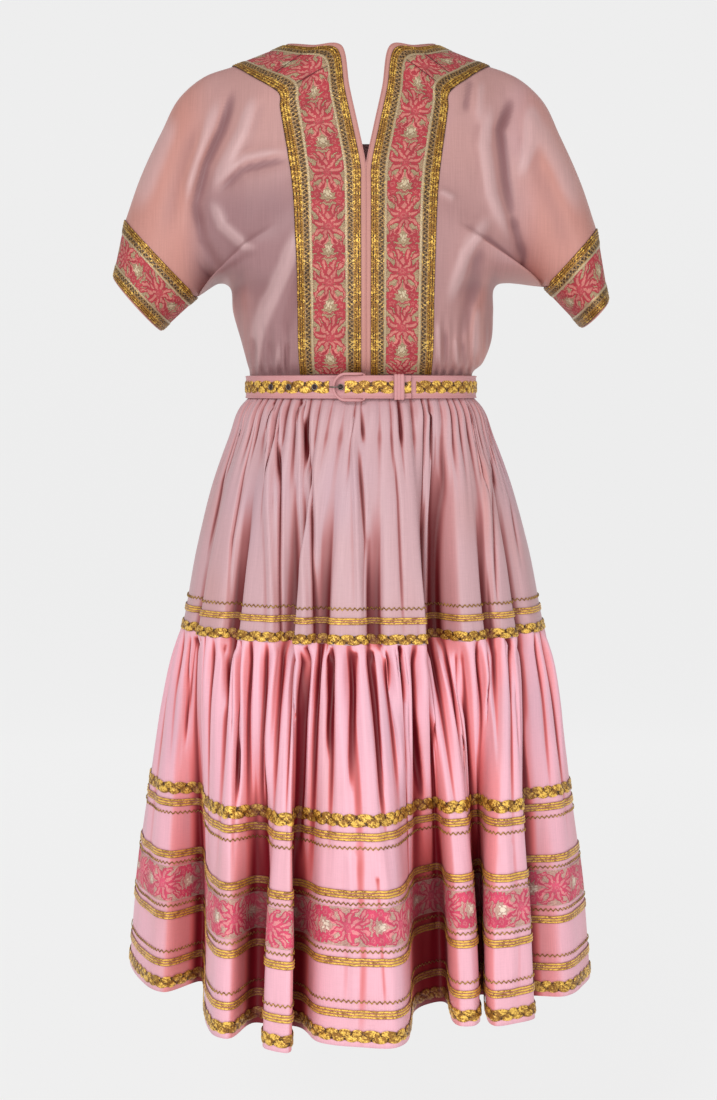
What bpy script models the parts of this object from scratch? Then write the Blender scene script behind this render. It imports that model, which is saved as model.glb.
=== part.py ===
# Patio dress, filled out with no wearer: kimono-sleeve bodice, covered belt, two gathered skirt tiers.
# Metres, +Z up, the front faces -Y. The origin lies midway between the neck ends of the shoulder seams.

import math

import bpy
import numpy as np

# Cloth and what is sewn on it
CLOTH = 0.0012
SEAM = 0.0003
TRIM_GAP = 0.0005
BRAID_HIGH = 0.0012
RIBBON_HIGH = 0.0009
BRAID_WIDE = 0.012

# Heights down the dress
WAIST_SEAM_Z = -0.4032
TIER_SEAM_Z = -0.6668
HEM_Z = -1.068
SEAM_DROP = 0.0009

# Belt
BELT_Z = -0.3920
BELT_HIGH = 0.0250
BELT_HALF_WIDE = 0.1300
BELT_HALF_DEEP = 0.0952
BELT_THICK = 0.0022
BELT_COLUMNS = 46
TAB_COLUMNS = 5
FRONT_COSINE = 0.5

# Rise of the strap's tab off the end beneath it: x along the front, rise
TAB_RISE = ((-0.0450, 0.0), (-0.0245, 0.0013), (-0.0040, 0.0026))

# Skirt outline by height: z, half width, half depth
SKIRT_SIZE = (
    (-0.4032, 0.1270, 0.0900),
    (-0.4100, 0.1325, 0.0950),
    (-0.4520, 0.1520, 0.1120),
    (-0.5000, 0.1710, 0.1285),
    (-0.5680, 0.1890, 0.1460),
    (-0.6680, 0.2080, 0.1660),
    (-0.7400, 0.2270, 0.1900),
    (-0.8000, 0.2370, 0.2060),
    (-0.9000, 0.2490, 0.2260),
    (-1.0680, 0.2620, 0.2450),
)

# Folds of the upper tier at its lower edge, from the left side by the front to the right:
# ridge deg, half deg, left share, right share, valley deg, half deg, share
UPPER_FOLDS = (
    (-88, 14, 0.97, 0.98, -66, 3.0, 0.945),
    (-55, 6, 1.00, 0.99, -45, 2.0, 0.930),
    (-35, 6, 0.98, 0.97, -22, 2.5, 0.880),
    (-18, 2, 1.01, 1.00, -12, 1.5, 0.950),
    (-4, 5, 1.00, 1.00, 4, 1.5, 0.960),
    (13, 6, 1.00, 1.01, 27, 3.5, 0.780),
    (37, 4, 0.99, 0.99, 45, 1.5, 0.950),
    (52, 4, 1.00, 1.00, 60, 2.0, 0.940),
    (78, 11, 1.00, 1.00, 97, 3.0, 0.940),
    (112, 8, 1.00, 1.00, 126, 3.0, 0.900),
    (141, 8, 1.00, 1.00, 155, 2.5, 0.930),
    (172, 9, 1.00, 1.00, 188, 3.0, 0.880),
    (204, 8, 1.00, 1.00, 219, 2.5, 0.930),
    (233, 7, 1.00, 1.00, 247, 2.5, 0.920),
)
UPPER_QUARTERS = (0, 4, 8, 11)

# Folds of the lower tier at the hem, in the same columns
HEM_FOLDS = (
    (-90, 17, 1.07, 0.88, -79, 3.0, 0.700),
    (-34, 3, 1.00, 1.03, -30, 2.5, 0.800),
    (-18, 3, 1.06, 1.09, -21, 2.0, 0.775),
    (-1, 9, 0.94, 1.00, 35, 6.0, 0.520),
    (31, 2, 0.82, 0.85, 58, 2.5, 0.590),
    (43, 6, 0.90, 0.94, 63, 2.5, 0.760),
    (81, 11, 0.92, 1.00, 104, 3.0, 0.760),
    (119, 7, 0.97, 1.00, 130, 3.0, 0.760),
    (142, 6, 1.00, 0.98, 152, 3.0, 0.800),
    (164, 7, 0.98, 1.02, 175, 3.5, 0.740),
    (187, 7, 1.00, 1.00, 197, 3.0, 0.800),
    (208, 5, 1.01, 0.98, 216, 3.0, 0.760),
    (226, 5, 0.99, 1.00, 234, 2.5, 0.800),
    (243, 3, 1.00, 1.00, 249, 1.5, 0.840),
)
HEM_QUARTERS = (0, 3, 6, 10)
CROWN = 1.012
FOLD_STEPS = 16
STATIONS_A_FOLD = 5
FOLD_POWER = 2.2

# Gathers: count round the dress, then their height in metres by height of the tier from 0 to 1
UPPER_GATHERS = 40
UPPER_SWELL = ((0.00, 0.0008), (0.08, 0.0030), (0.28, 0.0030), (0.60, 0.0016), (1.00, 0.0008))
LOWER_GATHERS = 52
LOWER_SWELL = ((0.00, 0.0022), (0.08, 0.0050), (0.25, 0.0040), (0.50, 0.0015), (1.00, 0.0005))
COLUMNS_A_GATHER = 3

# How the gathers' height varies round the dress: mean, change, waves of its two beats
GATHER_MEAN = 0.85
GATHER_CHANGE = 0.25
GATHER_BEATS = (7, 11)
GATHER_TURN = 1.0
FLANK_POWER = 2.0

# Trims of the lower tier, by height of the tier from 0 to 1
BORDER_BRAID = (0.425, 0.455)
RIBBON_ON_HEM = (0.658, 0.748)
HEM_BRAID = (0.960, 0.990)

# Rows of each tier: height from 0 to 1, times the folds are smoothed there
UPPER_ROWS = ((0.0, 0), (0.08, 0), (0.28, 0), (0.62, 0), (1.0, 0))
LOWER_ROWS = ((0.0, 0), (0.08, 2), (0.25, 2), (0.44, 0), (0.658, 0), (0.748, 0), (1.0, 0))

# Bodice: where the two fronts meet, and the widths across the band from that edge
CENTRE_X = 0.0055
BAND_OFFSETS = (0.0, 0.005, 0.021, 0.057, 0.073)
SHIFT_END = 0.1275

# Bodice by height: z, right half width, left half width, front depth, back depth
BODY_SIZE = (
    (-0.4020, 0.1275, 0.1275, 0.0905, 0.0905),
    (-0.3770, 0.1278, 0.1278, 0.0908, 0.0908),
    (-0.3640, 0.1400, 0.1310, 0.1060, 0.0990),
    (-0.3380, 0.1500, 0.1380, 0.1180, 0.1060),
    (-0.3060, 0.1520, 0.1470, 0.1250, 0.1110),
    (-0.2790, 0.1530, 0.1500, 0.1280, 0.1140),
    (-0.2600, 0.1780, 0.1780, 0.1285, 0.1160),
    (-0.2300, 0.1880, 0.1900, 0.1270, 0.1180),
    (-0.1900, 0.1850, 0.1880, 0.1220, 0.1180),
    (-0.1480, 0.1760, 0.1780, 0.1140, 0.1130),
    (-0.1100, 0.1690, 0.1690, 0.1040, 0.1030),
    (-0.0600, 0.1660, 0.1660, 0.0880, 0.0860),
    (-0.0170, 0.1680, 0.1680, 0.0700, 0.0640),
    (0.0100, 0.1700, 0.1700, 0.0600, 0.0500),
)

# Shoulder line and overarm seam: x, z
SHOULDER_LINE = (
    (0.0200, 0.0600),
    (0.0330, 0.0430),
    (0.0600, 0.0180),
    (0.0870, 0.0000),
    (0.1465, -0.0235),
    (0.1800, -0.0370),
    (0.2080, -0.0620),
    (0.2300, -0.1060),
    (0.2535, -0.1605),
    (0.2700, -0.2100),
    (0.2840, -0.2900),
)
OVERARM = SHOULDER_LINE[4:10]
SHOULDER_ROUND = 0.060

# Front rows, waist to shoulder: edge x, edge z, band x, band z, lift, cuff deg
FRONT_ROWS = (
    (0.0055, -0.4020, 0.0780, -0.4020, 0.00, 0),
    (0.0055, -0.3770, 0.0780, -0.3770, 0.00, 0),
    (0.0055, -0.3640, 0.0785, -0.3640, 0.00, 0),
    (0.0055, -0.3380, 0.0790, -0.3380, 0.00, 0),
    (0.0055, -0.3000, 0.0790, -0.3000, 0.00, 0),
    (0.0055, -0.2620, 0.0800, -0.2620, 0.00, 0),
    (0.0055, -0.2280, 0.0810, -0.2280, 0.00, 0),
    (0.0055, -0.1960, 0.0820, -0.1960, 0.05, 0),
    (0.0055, -0.1720, 0.0835, -0.1720, 0.15, 34),
    (0.0060, -0.1480, 0.0860, -0.1480, 0.30, 60),
    (0.0145, -0.1050, 0.0915, -0.1080, 0.48, 84),
    (0.0240, -0.0600, 0.0950, -0.0820, 0.66, 108),
    (0.0330, -0.0170, 0.0970, -0.0640, 0.82, 134),
    (0.0600, -0.0085, 0.1210, -0.0430, 0.94, 158),
    (0.0870, 0.0000, 0.1465, -0.0235, 1.00, 180),
)

# Back rows in the same columns; the neck is cut out above row NECK_ROW and inside column NECK_COLUMN
BACK_ROWS = (
    (0.0640, -0.4020, 0.1020, -0.4020, 0.00, 0),
    (0.0640, -0.3770, 0.1020, -0.3770, 0.00, 0),
    (0.0660, -0.3640, 0.1060, -0.3640, 0.00, 0),
    (0.0690, -0.3380, 0.1120, -0.3380, 0.00, 0),
    (0.0720, -0.3000, 0.1180, -0.3000, 0.00, 0),
    (0.0750, -0.2620, 0.1240, -0.2620, 0.00, 0),
    (0.0770, -0.2280, 0.1350, -0.2260, 0.00, 0),
    (0.0780, -0.1960, 0.1450, -0.1920, 0.05, 0),
    (0.0780, -0.1730, 0.1510, -0.1730, 0.15, 30),
    (0.0780, -0.1570, 0.1510, -0.1570, 0.30, 54),
    (0.0780, -0.1210, 0.1510, -0.1210, 0.48, 82),
    (0.0780, -0.1050, 0.1510, -0.1050, 0.66, 106),
    (0.0780, -0.1000, 0.1510, -0.0940, 0.82, 130),
    (0.0830, -0.0500, 0.1500, -0.0580, 0.94, 156),
    (0.0870, 0.0000, 0.1465, -0.0235, 1.00, 180),
)
BACK_MIDDLE = (0.0, 0.34, 0.68)
NECK_ROW = 12
NECK_COLUMN = 3

# Outer ends of the rows below the sleeve: up the side seam, then on the underarm seam
SIDE_SEAM_Z = (-0.4020, -0.3770, -0.3640, -0.3380, -0.3060, -0.2790)
UNDERARM = {"right": (0.1690, -0.2725), "left": (0.1660, -0.2735)}
UNDERARM_ROW = 7

# Rings round each sleeve, in the plane of the front: low x, low z, high x, high z, half depth
CUFF_RINGS = {
    "right": ((0.2105, -0.2770, 0.2695, -0.2100, 0.0560), (0.2550, -0.3230, 0.2820, -0.2920, 0.0620)),
    "left": ((0.1880, -0.2880, 0.2700, -0.2000, 0.0560), (0.2300, -0.3265, 0.2830, -0.2660, 0.0600)),
}
CUFF_SHARES = (0.0, 0.24, 0.76, 1.0)

# From the band to the cuff: share of the way, half depth of the sleeve
SLEEVE_DEPTH = ((0.0, 0.0300), (0.2, 0.0520), (0.45, 0.0640), (0.75, 0.0640), (1.0, 0.0560))
SLEEVE_SHARES = (0.12, 0.25, 0.38, 0.51, 0.64, 0.77, 0.89, 1.0)
MERGE_POWER = 3.5
TUCK_HIGH = 0.0016
TUCKED_ROWS = (2, 3)
CREASED_DEPTH = 0.030
SEAM_SIDE = 0.00045

# Tape behind the meeting edges of the fronts
ZIP_ROWS = slice(1, 10)
ZIP_HALF_WIDE = 0.009
ZIP_GAP = 0.0008
ZIP_THICK = 0.0010

# Large folds of the fronts: side, x and z of each end, half width, height out of the cloth
CREASES = (
    ("left", 0.1450, -0.0500, 0.1750, -0.1450, 0.012, 0.0050),
    ("left", 0.1600, -0.1150, 0.1900, -0.2400, 0.014, -0.0060),
    ("left", 0.0830, -0.1300, 0.1450, -0.1420, 0.010, 0.0040),
    ("left", 0.0760, -0.2350, 0.1180, -0.3300, 0.013, 0.0045),
    ("right", 0.1450, -0.0350, 0.1700, -0.0900, 0.012, 0.0060),
    ("right", 0.1550, -0.0900, 0.1620, -0.1750, 0.012, -0.0060),
    ("right", 0.1950, -0.0800, 0.1700, -0.1500, 0.013, 0.0050),
    ("right", 0.0880, -0.1950, 0.1250, -0.3300, 0.013, 0.0045),
)

# How a fold fades at its ends: share of its height there, and how fast it grows inward
CREASE_END = 0.5
CREASE_GROWTH = 3.0

# Buckle, its bar at the right: places along the front and distances out from the belt's inner face
BAR_X = 0.0030
RIM_X = -0.0290
BAR_OUT = 0.0004
RIM_OUT = 0.0075
LEG_RISE = 6.0
BUCKLE_HALF_HIGH = 0.0160
BUCKLE_BEND = 0.0130
BAR_TURN = 0.0030
FRAME_THICK = 0.0030
FRAME_SIDES = 6

# Strap, keeper and braids along the front
STRAP_X = (0.0055, 0.0540)
KEEPER_X = (0.0350, 0.0455)
KEEPER_THICK = 0.0010
BELT_BRAID_X = (0.0580, -0.0330)
TAB_BRAID_X = (0.0060, 0.0330)
BELT_BRAID_HALF = 0.00625
BELT_BRAID_THICK = 0.0008

# Eyelets, and the prong as x along the front and distance out
EYELETS_X = (-0.0980, -0.0785, -0.0500, -0.0215)
EYELET_RADIUS = 0.0031
EYELET_HOLE = 0.0016
EYELET_HIGH = 0.0009
EYELET_CROWN = (0.0020, 0.0025)
EYELET_SIDES = 10
PRONG_RADIUS = 0.0009
PRONG_ROUTE = ((-0.0208, 0.0062), (-0.0245, 0.0098), (-0.0290, 0.0104), (-0.0330, 0.0097))

# Finish: colour, roughness, metallic
FINISH = {
    "taffeta_rose": ((0.78, 0.47, 0.50), 0.45, 0.0),
    "taffeta_pink": ((0.90, 0.50, 0.56), 0.42, 0.0),
    "brocade": ((0.72, 0.30, 0.32), 0.60, 0.0),
    "gold_braid": ((0.62, 0.42, 0.10), 0.38, 0.7),
    "metal": ((0.35, 0.31, 0.27), 0.35, 1.0),
}


def clear_scene():
    for item in list(bpy.data.objects):
        bpy.data.objects.remove(item, do_unlink=True)


def material(name):
    found = bpy.data.materials.get(name)
    if found:
        return found
    colour, roughness, metallic = FINISH[name]
    made = bpy.data.materials.new(name)
    made.use_nodes = True
    shader = made.node_tree.nodes["Principled BSDF"]
    shader.inputs["Base Color"].default_value = (*colour, 1.0)
    shader.inputs["Roughness"].default_value = roughness
    shader.inputs["Metallic"].default_value = metallic
    return made


def add_object(name, finish, points, faces):
    mesh = bpy.data.meshes.new(name)
    mesh.from_pydata([tuple(point) for point in points], [], faces)
    mesh.materials.append(material(finish))
    mesh.shade_smooth()
    mesh.set_sharp_from_angle(angle=math.radians(50))
    made = bpy.data.objects.new(name, mesh)
    bpy.context.scene.collection.objects.link(made)
    return made


def unit(vectors):
    return vectors / np.linalg.norm(vectors, axis=-1, keepdims=True)


def smooth(at, keys, values):
    """A smooth curve through the rows of a table."""
    at = np.asarray(at, float)
    keys = np.asarray(keys, float)
    values = np.asarray(values, float)
    order = np.argsort(keys)
    keys, values = keys[order], values[order]
    slopes = np.gradient(values, keys, axis=0)
    row = np.clip(np.searchsorted(keys, at) - 1, 0, len(keys) - 2)
    span = keys[row + 1] - keys[row]
    part = np.clip((at - keys[row]) / span, 0.0, 1.0)
    if values.ndim > 1:
        part, span = part[..., None], span[..., None]
    rise = values[row + 1] - values[row]
    ease = part * part * (3 - 2 * part)
    start = part * (1 - part) ** 2 * span * slopes[row]
    end = part * part * (1 - part) * span * slopes[row + 1]
    return values[row] + ease * rise + start - end


def grid_normals(points, closed):
    """Outward unit normals of a grid whose rows run down and whose columns run anticlockwise."""
    down = np.gradient(points, axis=0)
    if closed:
        along = np.roll(points, -1, axis=1) - np.roll(points, 1, axis=1)
    else:
        along = np.gradient(points, axis=1)
    return unit(np.cross(down, along))


def cells(grid, closed=False, falling=False):
    """Two triangles for each cell of a grid of point numbers; a number under 0 is a missing point."""
    if closed:
        grid = np.hstack([grid, grid[:, :1]])
    found = []
    for upper, lower in zip(grid[:-1], grid[1:]):
        for a, b, c, d in zip(upper, lower, lower[1:], upper[1:]):
            if min(a, b, c, d) < 0:
                continue
            found += [(a, b, d), (b, c, d)] if falling else [(a, b, c), (a, c, d)]
    return found


def mirror_cells(grid):
    """Triangles of a grid whose right half mirrors its left half."""
    middle = grid.shape[1] // 2
    right = cells(grid[:, :middle - 1:-1])
    return cells(grid[:, :middle + 1]) + [tuple(reversed(face)) for face in right]


def slab(name, finish, points, normals, faces, low, high):
    """A closed solid between two offsets of a sheet, low and high along its normals."""
    used = sorted({number for face in faces for number in face})
    place = {number: count for count, number in enumerate(used)}
    total = len(used)
    outer = [tuple(place[number] for number in face) for face in faces]
    inner = [tuple(total + number for number in reversed(face)) for face in outer]
    edges = {(face[i], face[(i + 1) % 3]) for face in outer for i in range(3)}
    sides = []
    for a, b in sorted(edges):
        if (b, a) not in edges:
            sides.append((b, a, total + a))
            sides.append((b, total + a, total + b))
    top = points[used] + normals[used] * high
    base = points[used] + normals[used] * low
    return add_object(name, finish, np.vstack([top, base]), outer + inner + sides)


def tube(name, finish, loops, closed=False):
    """A solid through loops of points of one length, each loop anticlockwise seen from its start."""
    loops = np.asarray(loops)
    count, size = loops.shape[:2]
    steps = count if closed else count - 1
    faces = []
    for step in range(steps):
        here = step * size
        after = ((step + 1) % count) * size
        for side in range(size):
            turn = (side + 1) % size
            faces.append((here + side, here + turn, after + turn))
            faces.append((here + side, after + turn, after + side))
    if not closed:
        last = (count - 1) * size
        for side in range(1, size - 1):
            faces.append((0, side + 1, side))
            faces.append((last, last + side, last + side + 1))
    return add_object(name, finish, loops.reshape(-1, 3), faces)


# Skirt


def fold_stations(folds):
    """Turning points of a folded edge: angle in degrees and share of the plain outline."""
    stations = []
    for ridge, half, left, right, valley, valley_half, share in folds:
        stations.append((ridge - half, left))
        stations.append((ridge, (left + right) / 2 * CROWN))
        stations.append((ridge + half, right))
        stations.append((valley - valley_half, share))
        stations.append((valley + valley_half, share))
    return np.array(stations)


def closed_spline(points, steps):
    """Points along a smooth closed curve, with the given steps between two stations."""
    before, after, beyond = (np.roll(points, shift, axis=0) for shift in (1, -1, -2))
    part = (np.arange(steps) / steps)[None, :, None]
    p0, p1, p2, p3 = (each[:, None, :] for each in (before, points, after, beyond))
    reach = np.linalg.norm(p2 - p1, axis=2, keepdims=True)
    near = np.linalg.norm(p1 - p0, axis=2, keepdims=True)
    far = np.linalg.norm(p3 - p2, axis=2, keepdims=True)
    start = reach * ((p1 - p0) / near + (p2 - p1) / reach) / 2
    end = reach * ((p2 - p1) / reach + (p3 - p2) / far) / 2
    ease = part * part * (3 - 2 * part)
    curve = p1 + ease * (p2 - p1) + part * (1 - part) ** 2 * start - part * part * (1 - part) * end
    return curve.reshape(-1, 2)


def folded_ring(folds, quarters, height, columns):
    """The folded edge as shares of the outline, at even steps of cloth within each quarter."""
    size = smooth(height, *skirt_table())
    stations = fold_stations(folds)
    angle = np.radians(stations[:, 0])
    spots = np.stack([np.sin(angle), -np.cos(angle)], axis=1) * stations[:, 1:]
    curve = closed_spline(spots * size, FOLD_STEPS)
    starts = [(STATIONS_A_FOLD * row + 1) * FOLD_STEPS for row in quarters]
    return even_steps(curve, starts, columns) / size


def even_steps(curve, starts, columns):
    """Points at even steps of cloth between the starts of the quarters."""
    ring = []
    ends = starts[1:] + [starts[0] + len(curve)]
    share = columns // len(starts)
    for start, end in zip(starts, ends):
        stretch = np.take(curve, np.arange(start, end + 1), axis=0, mode="wrap")
        along = np.concatenate([[0], np.cumsum(np.linalg.norm(np.diff(stretch, axis=0), axis=1))])
        stops = np.arange(share) / share * along[-1]
        ring.append(np.stack([np.interp(stops, along, stretch[:, axis]) for axis in (0, 1)], axis=1))
    return np.concatenate(ring)


def skirt_table():
    rows = np.array(SKIRT_SIZE)
    return rows[:, 0], rows[:, 1:]


def plain_ring(columns):
    angle = np.radians(-90) + np.arange(columns) / columns * 2 * math.pi
    return np.stack([np.sin(angle), -np.cos(angle)], axis=1)


def gather_wave(columns, gathers):
    place = np.arange(columns) / columns
    first, second = (np.sin(2 * math.pi * beat * place + GATHER_TURN) for beat in GATHER_BEATS)
    uneven = GATHER_MEAN + GATHER_CHANGE * first * second
    return uneven * np.cos(2 * math.pi * gathers * place)


def tier(top_ring, low_ring, top_z, low_z, rows, gathers, swell):
    """A tier's grid of points: each row blends from the upper edge's shape to the lower edge's."""
    keys, heights = zip(*swell)
    wave = gather_wave(len(top_ring), gathers)
    grid = []
    for row, passes in rows:
        z = top_z + (low_z - top_z) * row
        blend = 1 - (1 - row) ** FOLD_POWER
        ring = (top_ring * (1 - blend) + low_ring * blend) * smooth(z, *skirt_table())
        ring = softened(ring, passes)
        along = unit(np.roll(ring, -1, axis=0) - np.roll(ring, 1, axis=0))
        out = np.stack([along[:, 1], -along[:, 0]], axis=1)
        facing = np.clip((out * unit(ring)).sum(axis=1), 0, 1) ** FLANK_POWER
        ring = ring + out * (wave * facing * smooth(row, keys, heights))[:, None]
        grid.append(np.column_stack([ring, np.full(len(ring), z)]))
    return np.array(grid)


def softened(ring, passes):
    """The ring with each point drawn between its neighbours a number of times."""
    for _ in range(passes):
        ring = (np.roll(ring, 1, axis=0) + 2 * ring + np.roll(ring, -1, axis=0)) / 4
    return ring


def between_rows(grid, rows, share):
    """The row of a grid at a share of its height."""
    heights = [height for height, _ in rows]
    row = int(np.clip(np.searchsorted(heights, share) - 1, 0, len(rows) - 2))
    part = (share - heights[row]) / (heights[row + 1] - heights[row])
    return grid[row] * (1 - part) + grid[row + 1] * part


def wall_halves(name, finish, grid):
    """Front and back of a tier as walls, parted at the side seams."""
    points = grid.reshape(-1, 3)
    normals = grid_normals(grid, True).reshape(-1, 3)
    numbers = np.arange(len(points)).reshape(grid.shape[:2])
    half = grid.shape[1] // 2
    points, normals, front, back = part_sides(points, normals, numbers, half)
    slab(f"{name}_front", finish, points, normals, cells(front), -CLOTH / 2, CLOTH / 2)
    slab(f"{name}_back", finish, points, normals, cells(back), -CLOTH / 2, CLOTH / 2)


def part_sides(points, normals, numbers, half):
    """Doubles the points of both side seams and draws each a little back along its half."""
    total = len(points)
    columns = [numbers[:, half], numbers[:, 0]]
    inward = [numbers[:, half + 1], numbers[:, 1]]
    toward = [numbers[:, half - 1], numbers[:, -1]]
    seam = np.concatenate(columns)
    away = unit(points[np.concatenate(toward)] - points[seam])
    ahead = unit(points[np.concatenate(inward)] - points[seam])
    doubled = points[seam] + away * SEAM
    kept = points.copy()
    kept[seam] = points[seam] + ahead * SEAM
    rows = len(numbers)
    right = total + np.arange(rows)
    left = right + rows
    front = np.column_stack([numbers[:, :half], right])
    back = np.column_stack([numbers[:, half:], left])
    return np.vstack([kept, doubled]), np.vstack([normals, normals[seam]]), front, back


def braid_ring(name, grid, rows, span, more=0.0):
    """A braid of three-sided section lying on a tier, between two shares of its height."""
    normals = grid_normals(grid, True)
    base = CLOTH / 2 + TRIM_GAP + more
    middle = (span[0] + span[1]) / 2
    lines = ((span[0], base), (middle, base + BRAID_HIGH), (span[1], base))
    loops = []
    for share, out in lines:
        spots = between_rows(grid, rows, share)
        facing = unit(between_rows(normals, rows, share))
        loops.append(spots + facing * out)
    tube(name, "gold_braid", np.stack(loops, axis=1), True)


def skirt():
    upper_columns = UPPER_GATHERS * COLUMNS_A_GATHER
    lower_columns = LOWER_GATHERS * COLUMNS_A_GATHER
    seam_ring = folded_ring(UPPER_FOLDS, UPPER_QUARTERS, TIER_SEAM_Z, upper_columns)
    upper = tier(
        plain_ring(upper_columns), seam_ring,
        WAIST_SEAM_Z, TIER_SEAM_Z, UPPER_ROWS, UPPER_GATHERS, UPPER_SWELL,
    )
    lower = tier(
        folded_ring(UPPER_FOLDS, UPPER_QUARTERS, TIER_SEAM_Z, lower_columns),
        folded_ring(HEM_FOLDS, HEM_QUARTERS, HEM_Z, lower_columns),
        TIER_SEAM_Z - SEAM_DROP, HEM_Z, LOWER_ROWS, LOWER_GATHERS, LOWER_SWELL,
    )
    wall_halves("skirt_upper", "taffeta_rose", upper)
    wall_halves("skirt_lower", "taffeta_pink", lower)
    braid_share = BRAID_WIDE / (WAIST_SEAM_Z - TIER_SEAM_Z)
    braid_ring("seam_braid", upper, UPPER_ROWS, (1 - braid_share, 1.0))
    braid_ring("border_braid", lower, LOWER_ROWS, BORDER_BRAID, SEAM)
    braid_ring("hem_braid", lower, LOWER_ROWS, HEM_BRAID, SEAM)
    skirt_ribbon(lower)


def skirt_ribbon(grid):
    rows = [number for number, (height, _) in enumerate(LOWER_ROWS) if height in RIBBON_ON_HEM]
    points = grid[rows].reshape(-1, 3)
    normals = grid_normals(grid, True)[rows].reshape(-1, 3)
    numbers = np.arange(len(points)).reshape(2, -1)
    base = CLOTH / 2 + TRIM_GAP + SEAM
    slab("skirt_brocade", "brocade", points, normals, cells(numbers, True), base, base + RIBBON_HIGH)


# Bodice


def body_size(side, z):
    """Half width on this side, front depth and back depth at a height."""
    rows = np.array(BODY_SIZE)
    columns = [1 if side == "right" else 2, 3, 4]
    return np.moveaxis(smooth(z, rows[:, 0], rows[:, columns]), -1, 0)


def body_depth(side, x, z, back):
    """How far the body of the bodice stands from the plane of the side seams."""
    wide, front_deep, back_deep = body_size(side, z)
    deep = back_deep if back else front_deep
    across = np.sqrt(np.clip(1 - (x / wide) ** 2, 0, 1))
    line = np.array(SHOULDER_LINE)
    below = np.clip((smooth(x, line[:, 0], line[:, 1]) - z) / SHOULDER_ROUND, 0, 1)
    return deep * across * np.sqrt(1 - (1 - below) ** 2)


def crease_height(side, x, z):
    total = np.zeros_like(x)
    for where, x0, z0, x1, z1, half, height in CREASES:
        if where != side:
            continue
        run = np.array([x1 - x0, z1 - z0])
        length = np.hypot(*run)
        along = ((x - x0) * run[0] + (z - z0) * run[1]) / length ** 2
        off = ((x - x0) * run[1] - (z - z0) * run[0]) / length
        fade = np.clip(np.minimum(along, 1 - along) * CREASE_GROWTH + CREASE_END, 0, 1)
        total += height * fade * np.exp(-((off / half) ** 2))
    return total


def overarm_lift(share):
    """How far the overarm seam bulges from the straight line between its ends."""
    line = np.array(OVERARM)
    along = np.concatenate([[0], np.cumsum(np.hypot(*np.diff(line, axis=0).T))])
    spots = smooth(np.asarray(share) * along[-1], along, line)
    return spots - (line[0] + np.asarray(share)[:, None] * (line[-1] - line[0]))


def cuff_point(side, ring, angle):
    """A point of a sleeve ring in the plane of the front: 0 deg underarm, 180 deg overarm."""
    low_x, low_z, high_x, high_z = CUFF_RINGS[side][ring][:4]
    share = (1 - math.cos(math.radians(angle))) / 2
    return np.array([low_x + (high_x - low_x) * share, low_z + (high_z - low_z) * share])


def row_end(side, row, angle):
    if row >= UNDERARM_ROW:
        return cuff_point(side, 0, angle)
    if row == len(SIDE_SEAM_Z):
        return np.array(UNDERARM[side])
    z = SIDE_SEAM_Z[row]
    return np.array([float(body_size(side, z)[0]), z])


def bodice_plan(side, rows, middle):
    """The half bodice seen from the front: rows of x, z across the band and out to the side or cuff."""
    shares = np.array(SLEEVE_SHARES)
    lift = overarm_lift(shares)
    offsets = np.array(BAND_OFFSETS) / BAND_OFFSETS[-1]
    plan = []
    for number, (edge_x, edge_z, band_x, band_z, raised, angle) in enumerate(rows):
        edge = np.array([edge_x, edge_z])
        band = np.array([band_x, band_z])
        end = row_end(side, number, angle)
        line = [np.array([edge_x * part, edge_z]) for part in middle]
        line += [edge + (band - edge) * part for part in offsets]
        line += list(band + (end - band) * shares[:, None] + lift * raised)
        plan.append(line)
    return np.array(plan)


def section_depth(plan):
    """Depth of the sleeve: a half ellipse between underarm and overarm at each share of its length."""
    keys, deep = zip(*SLEEVE_DEPTH)
    shares = np.concatenate([[0.0], SLEEVE_SHARES])
    first = plan.shape[1] - len(shares)
    low = plan[UNDERARM_ROW, first:]
    run = plan[-1, first:] - low
    part = ((plan[:, first:] - low) * run).sum(-1) / (run * run).sum(-1)
    part = np.clip(part, 0, 1)
    part[: UNDERARM_ROW + 1] = 0
    depth = np.zeros(plan.shape[:2])
    depth[:, first:] = 2 * np.sqrt(part * (1 - part)) * smooth(shares, keys, deep)
    return depth


def bodice_grid(side, back):
    """Points of a half bodice with its cuff: rows from waist to shoulder, columns from the centre out."""
    rows = BACK_ROWS if back else FRONT_ROWS
    plan = bodice_plan(side, rows, BACK_MIDDLE if back else ())
    x, z = plan[..., 0], plan[..., 1]
    body = body_depth(side, x, z, back)
    sleeve = section_depth(plan)
    depth = (body ** MERGE_POWER + sleeve ** MERGE_POWER) ** (1 / MERGE_POWER)
    depth += waist_tucks(depth.shape)
    if not back:
        depth += crease_height(side, x, z) * np.clip(depth / CREASED_DEPTH, 0, 1)
    depth = np.maximum(depth, SEAM)
    points = np.stack([x, -depth, z], axis=-1)
    return np.concatenate([points, cuff_columns(side, rows)], axis=1)


def waist_tucks(shape):
    """Gathers above the belt, between the band and the side seam."""
    tucks = np.zeros(shape)
    first = shape[1] - len(SLEEVE_SHARES)
    wave = np.cos(math.pi * np.arange(len(SLEEVE_SHARES) - 1))
    for row in TUCKED_ROWS:
        tucks[row, first:-1] = wave * TUCK_HIGH
    return tucks


def cuff_columns(side, rows):
    """The cuff beyond the sleeve, missing on rows that end at the side seam."""
    near, far = (ring[4] for ring in CUFF_RINGS[side])
    block = np.full((len(rows), len(CUFF_SHARES) - 1, 3), np.nan)
    for number in range(UNDERARM_ROW, len(rows)):
        angle = rows[number][5]
        start = cuff_point(side, 0, angle)
        end = cuff_point(side, 1, angle)
        turn = math.sin(math.radians(angle))
        for column, share in enumerate(CUFF_SHARES[1:]):
            spot = start + (end - start) * share
            deep = max((near + (far - near) * share) * turn, SEAM)
            block[number, column] = (spot[0], -deep, spot[1])
    return block


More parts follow.
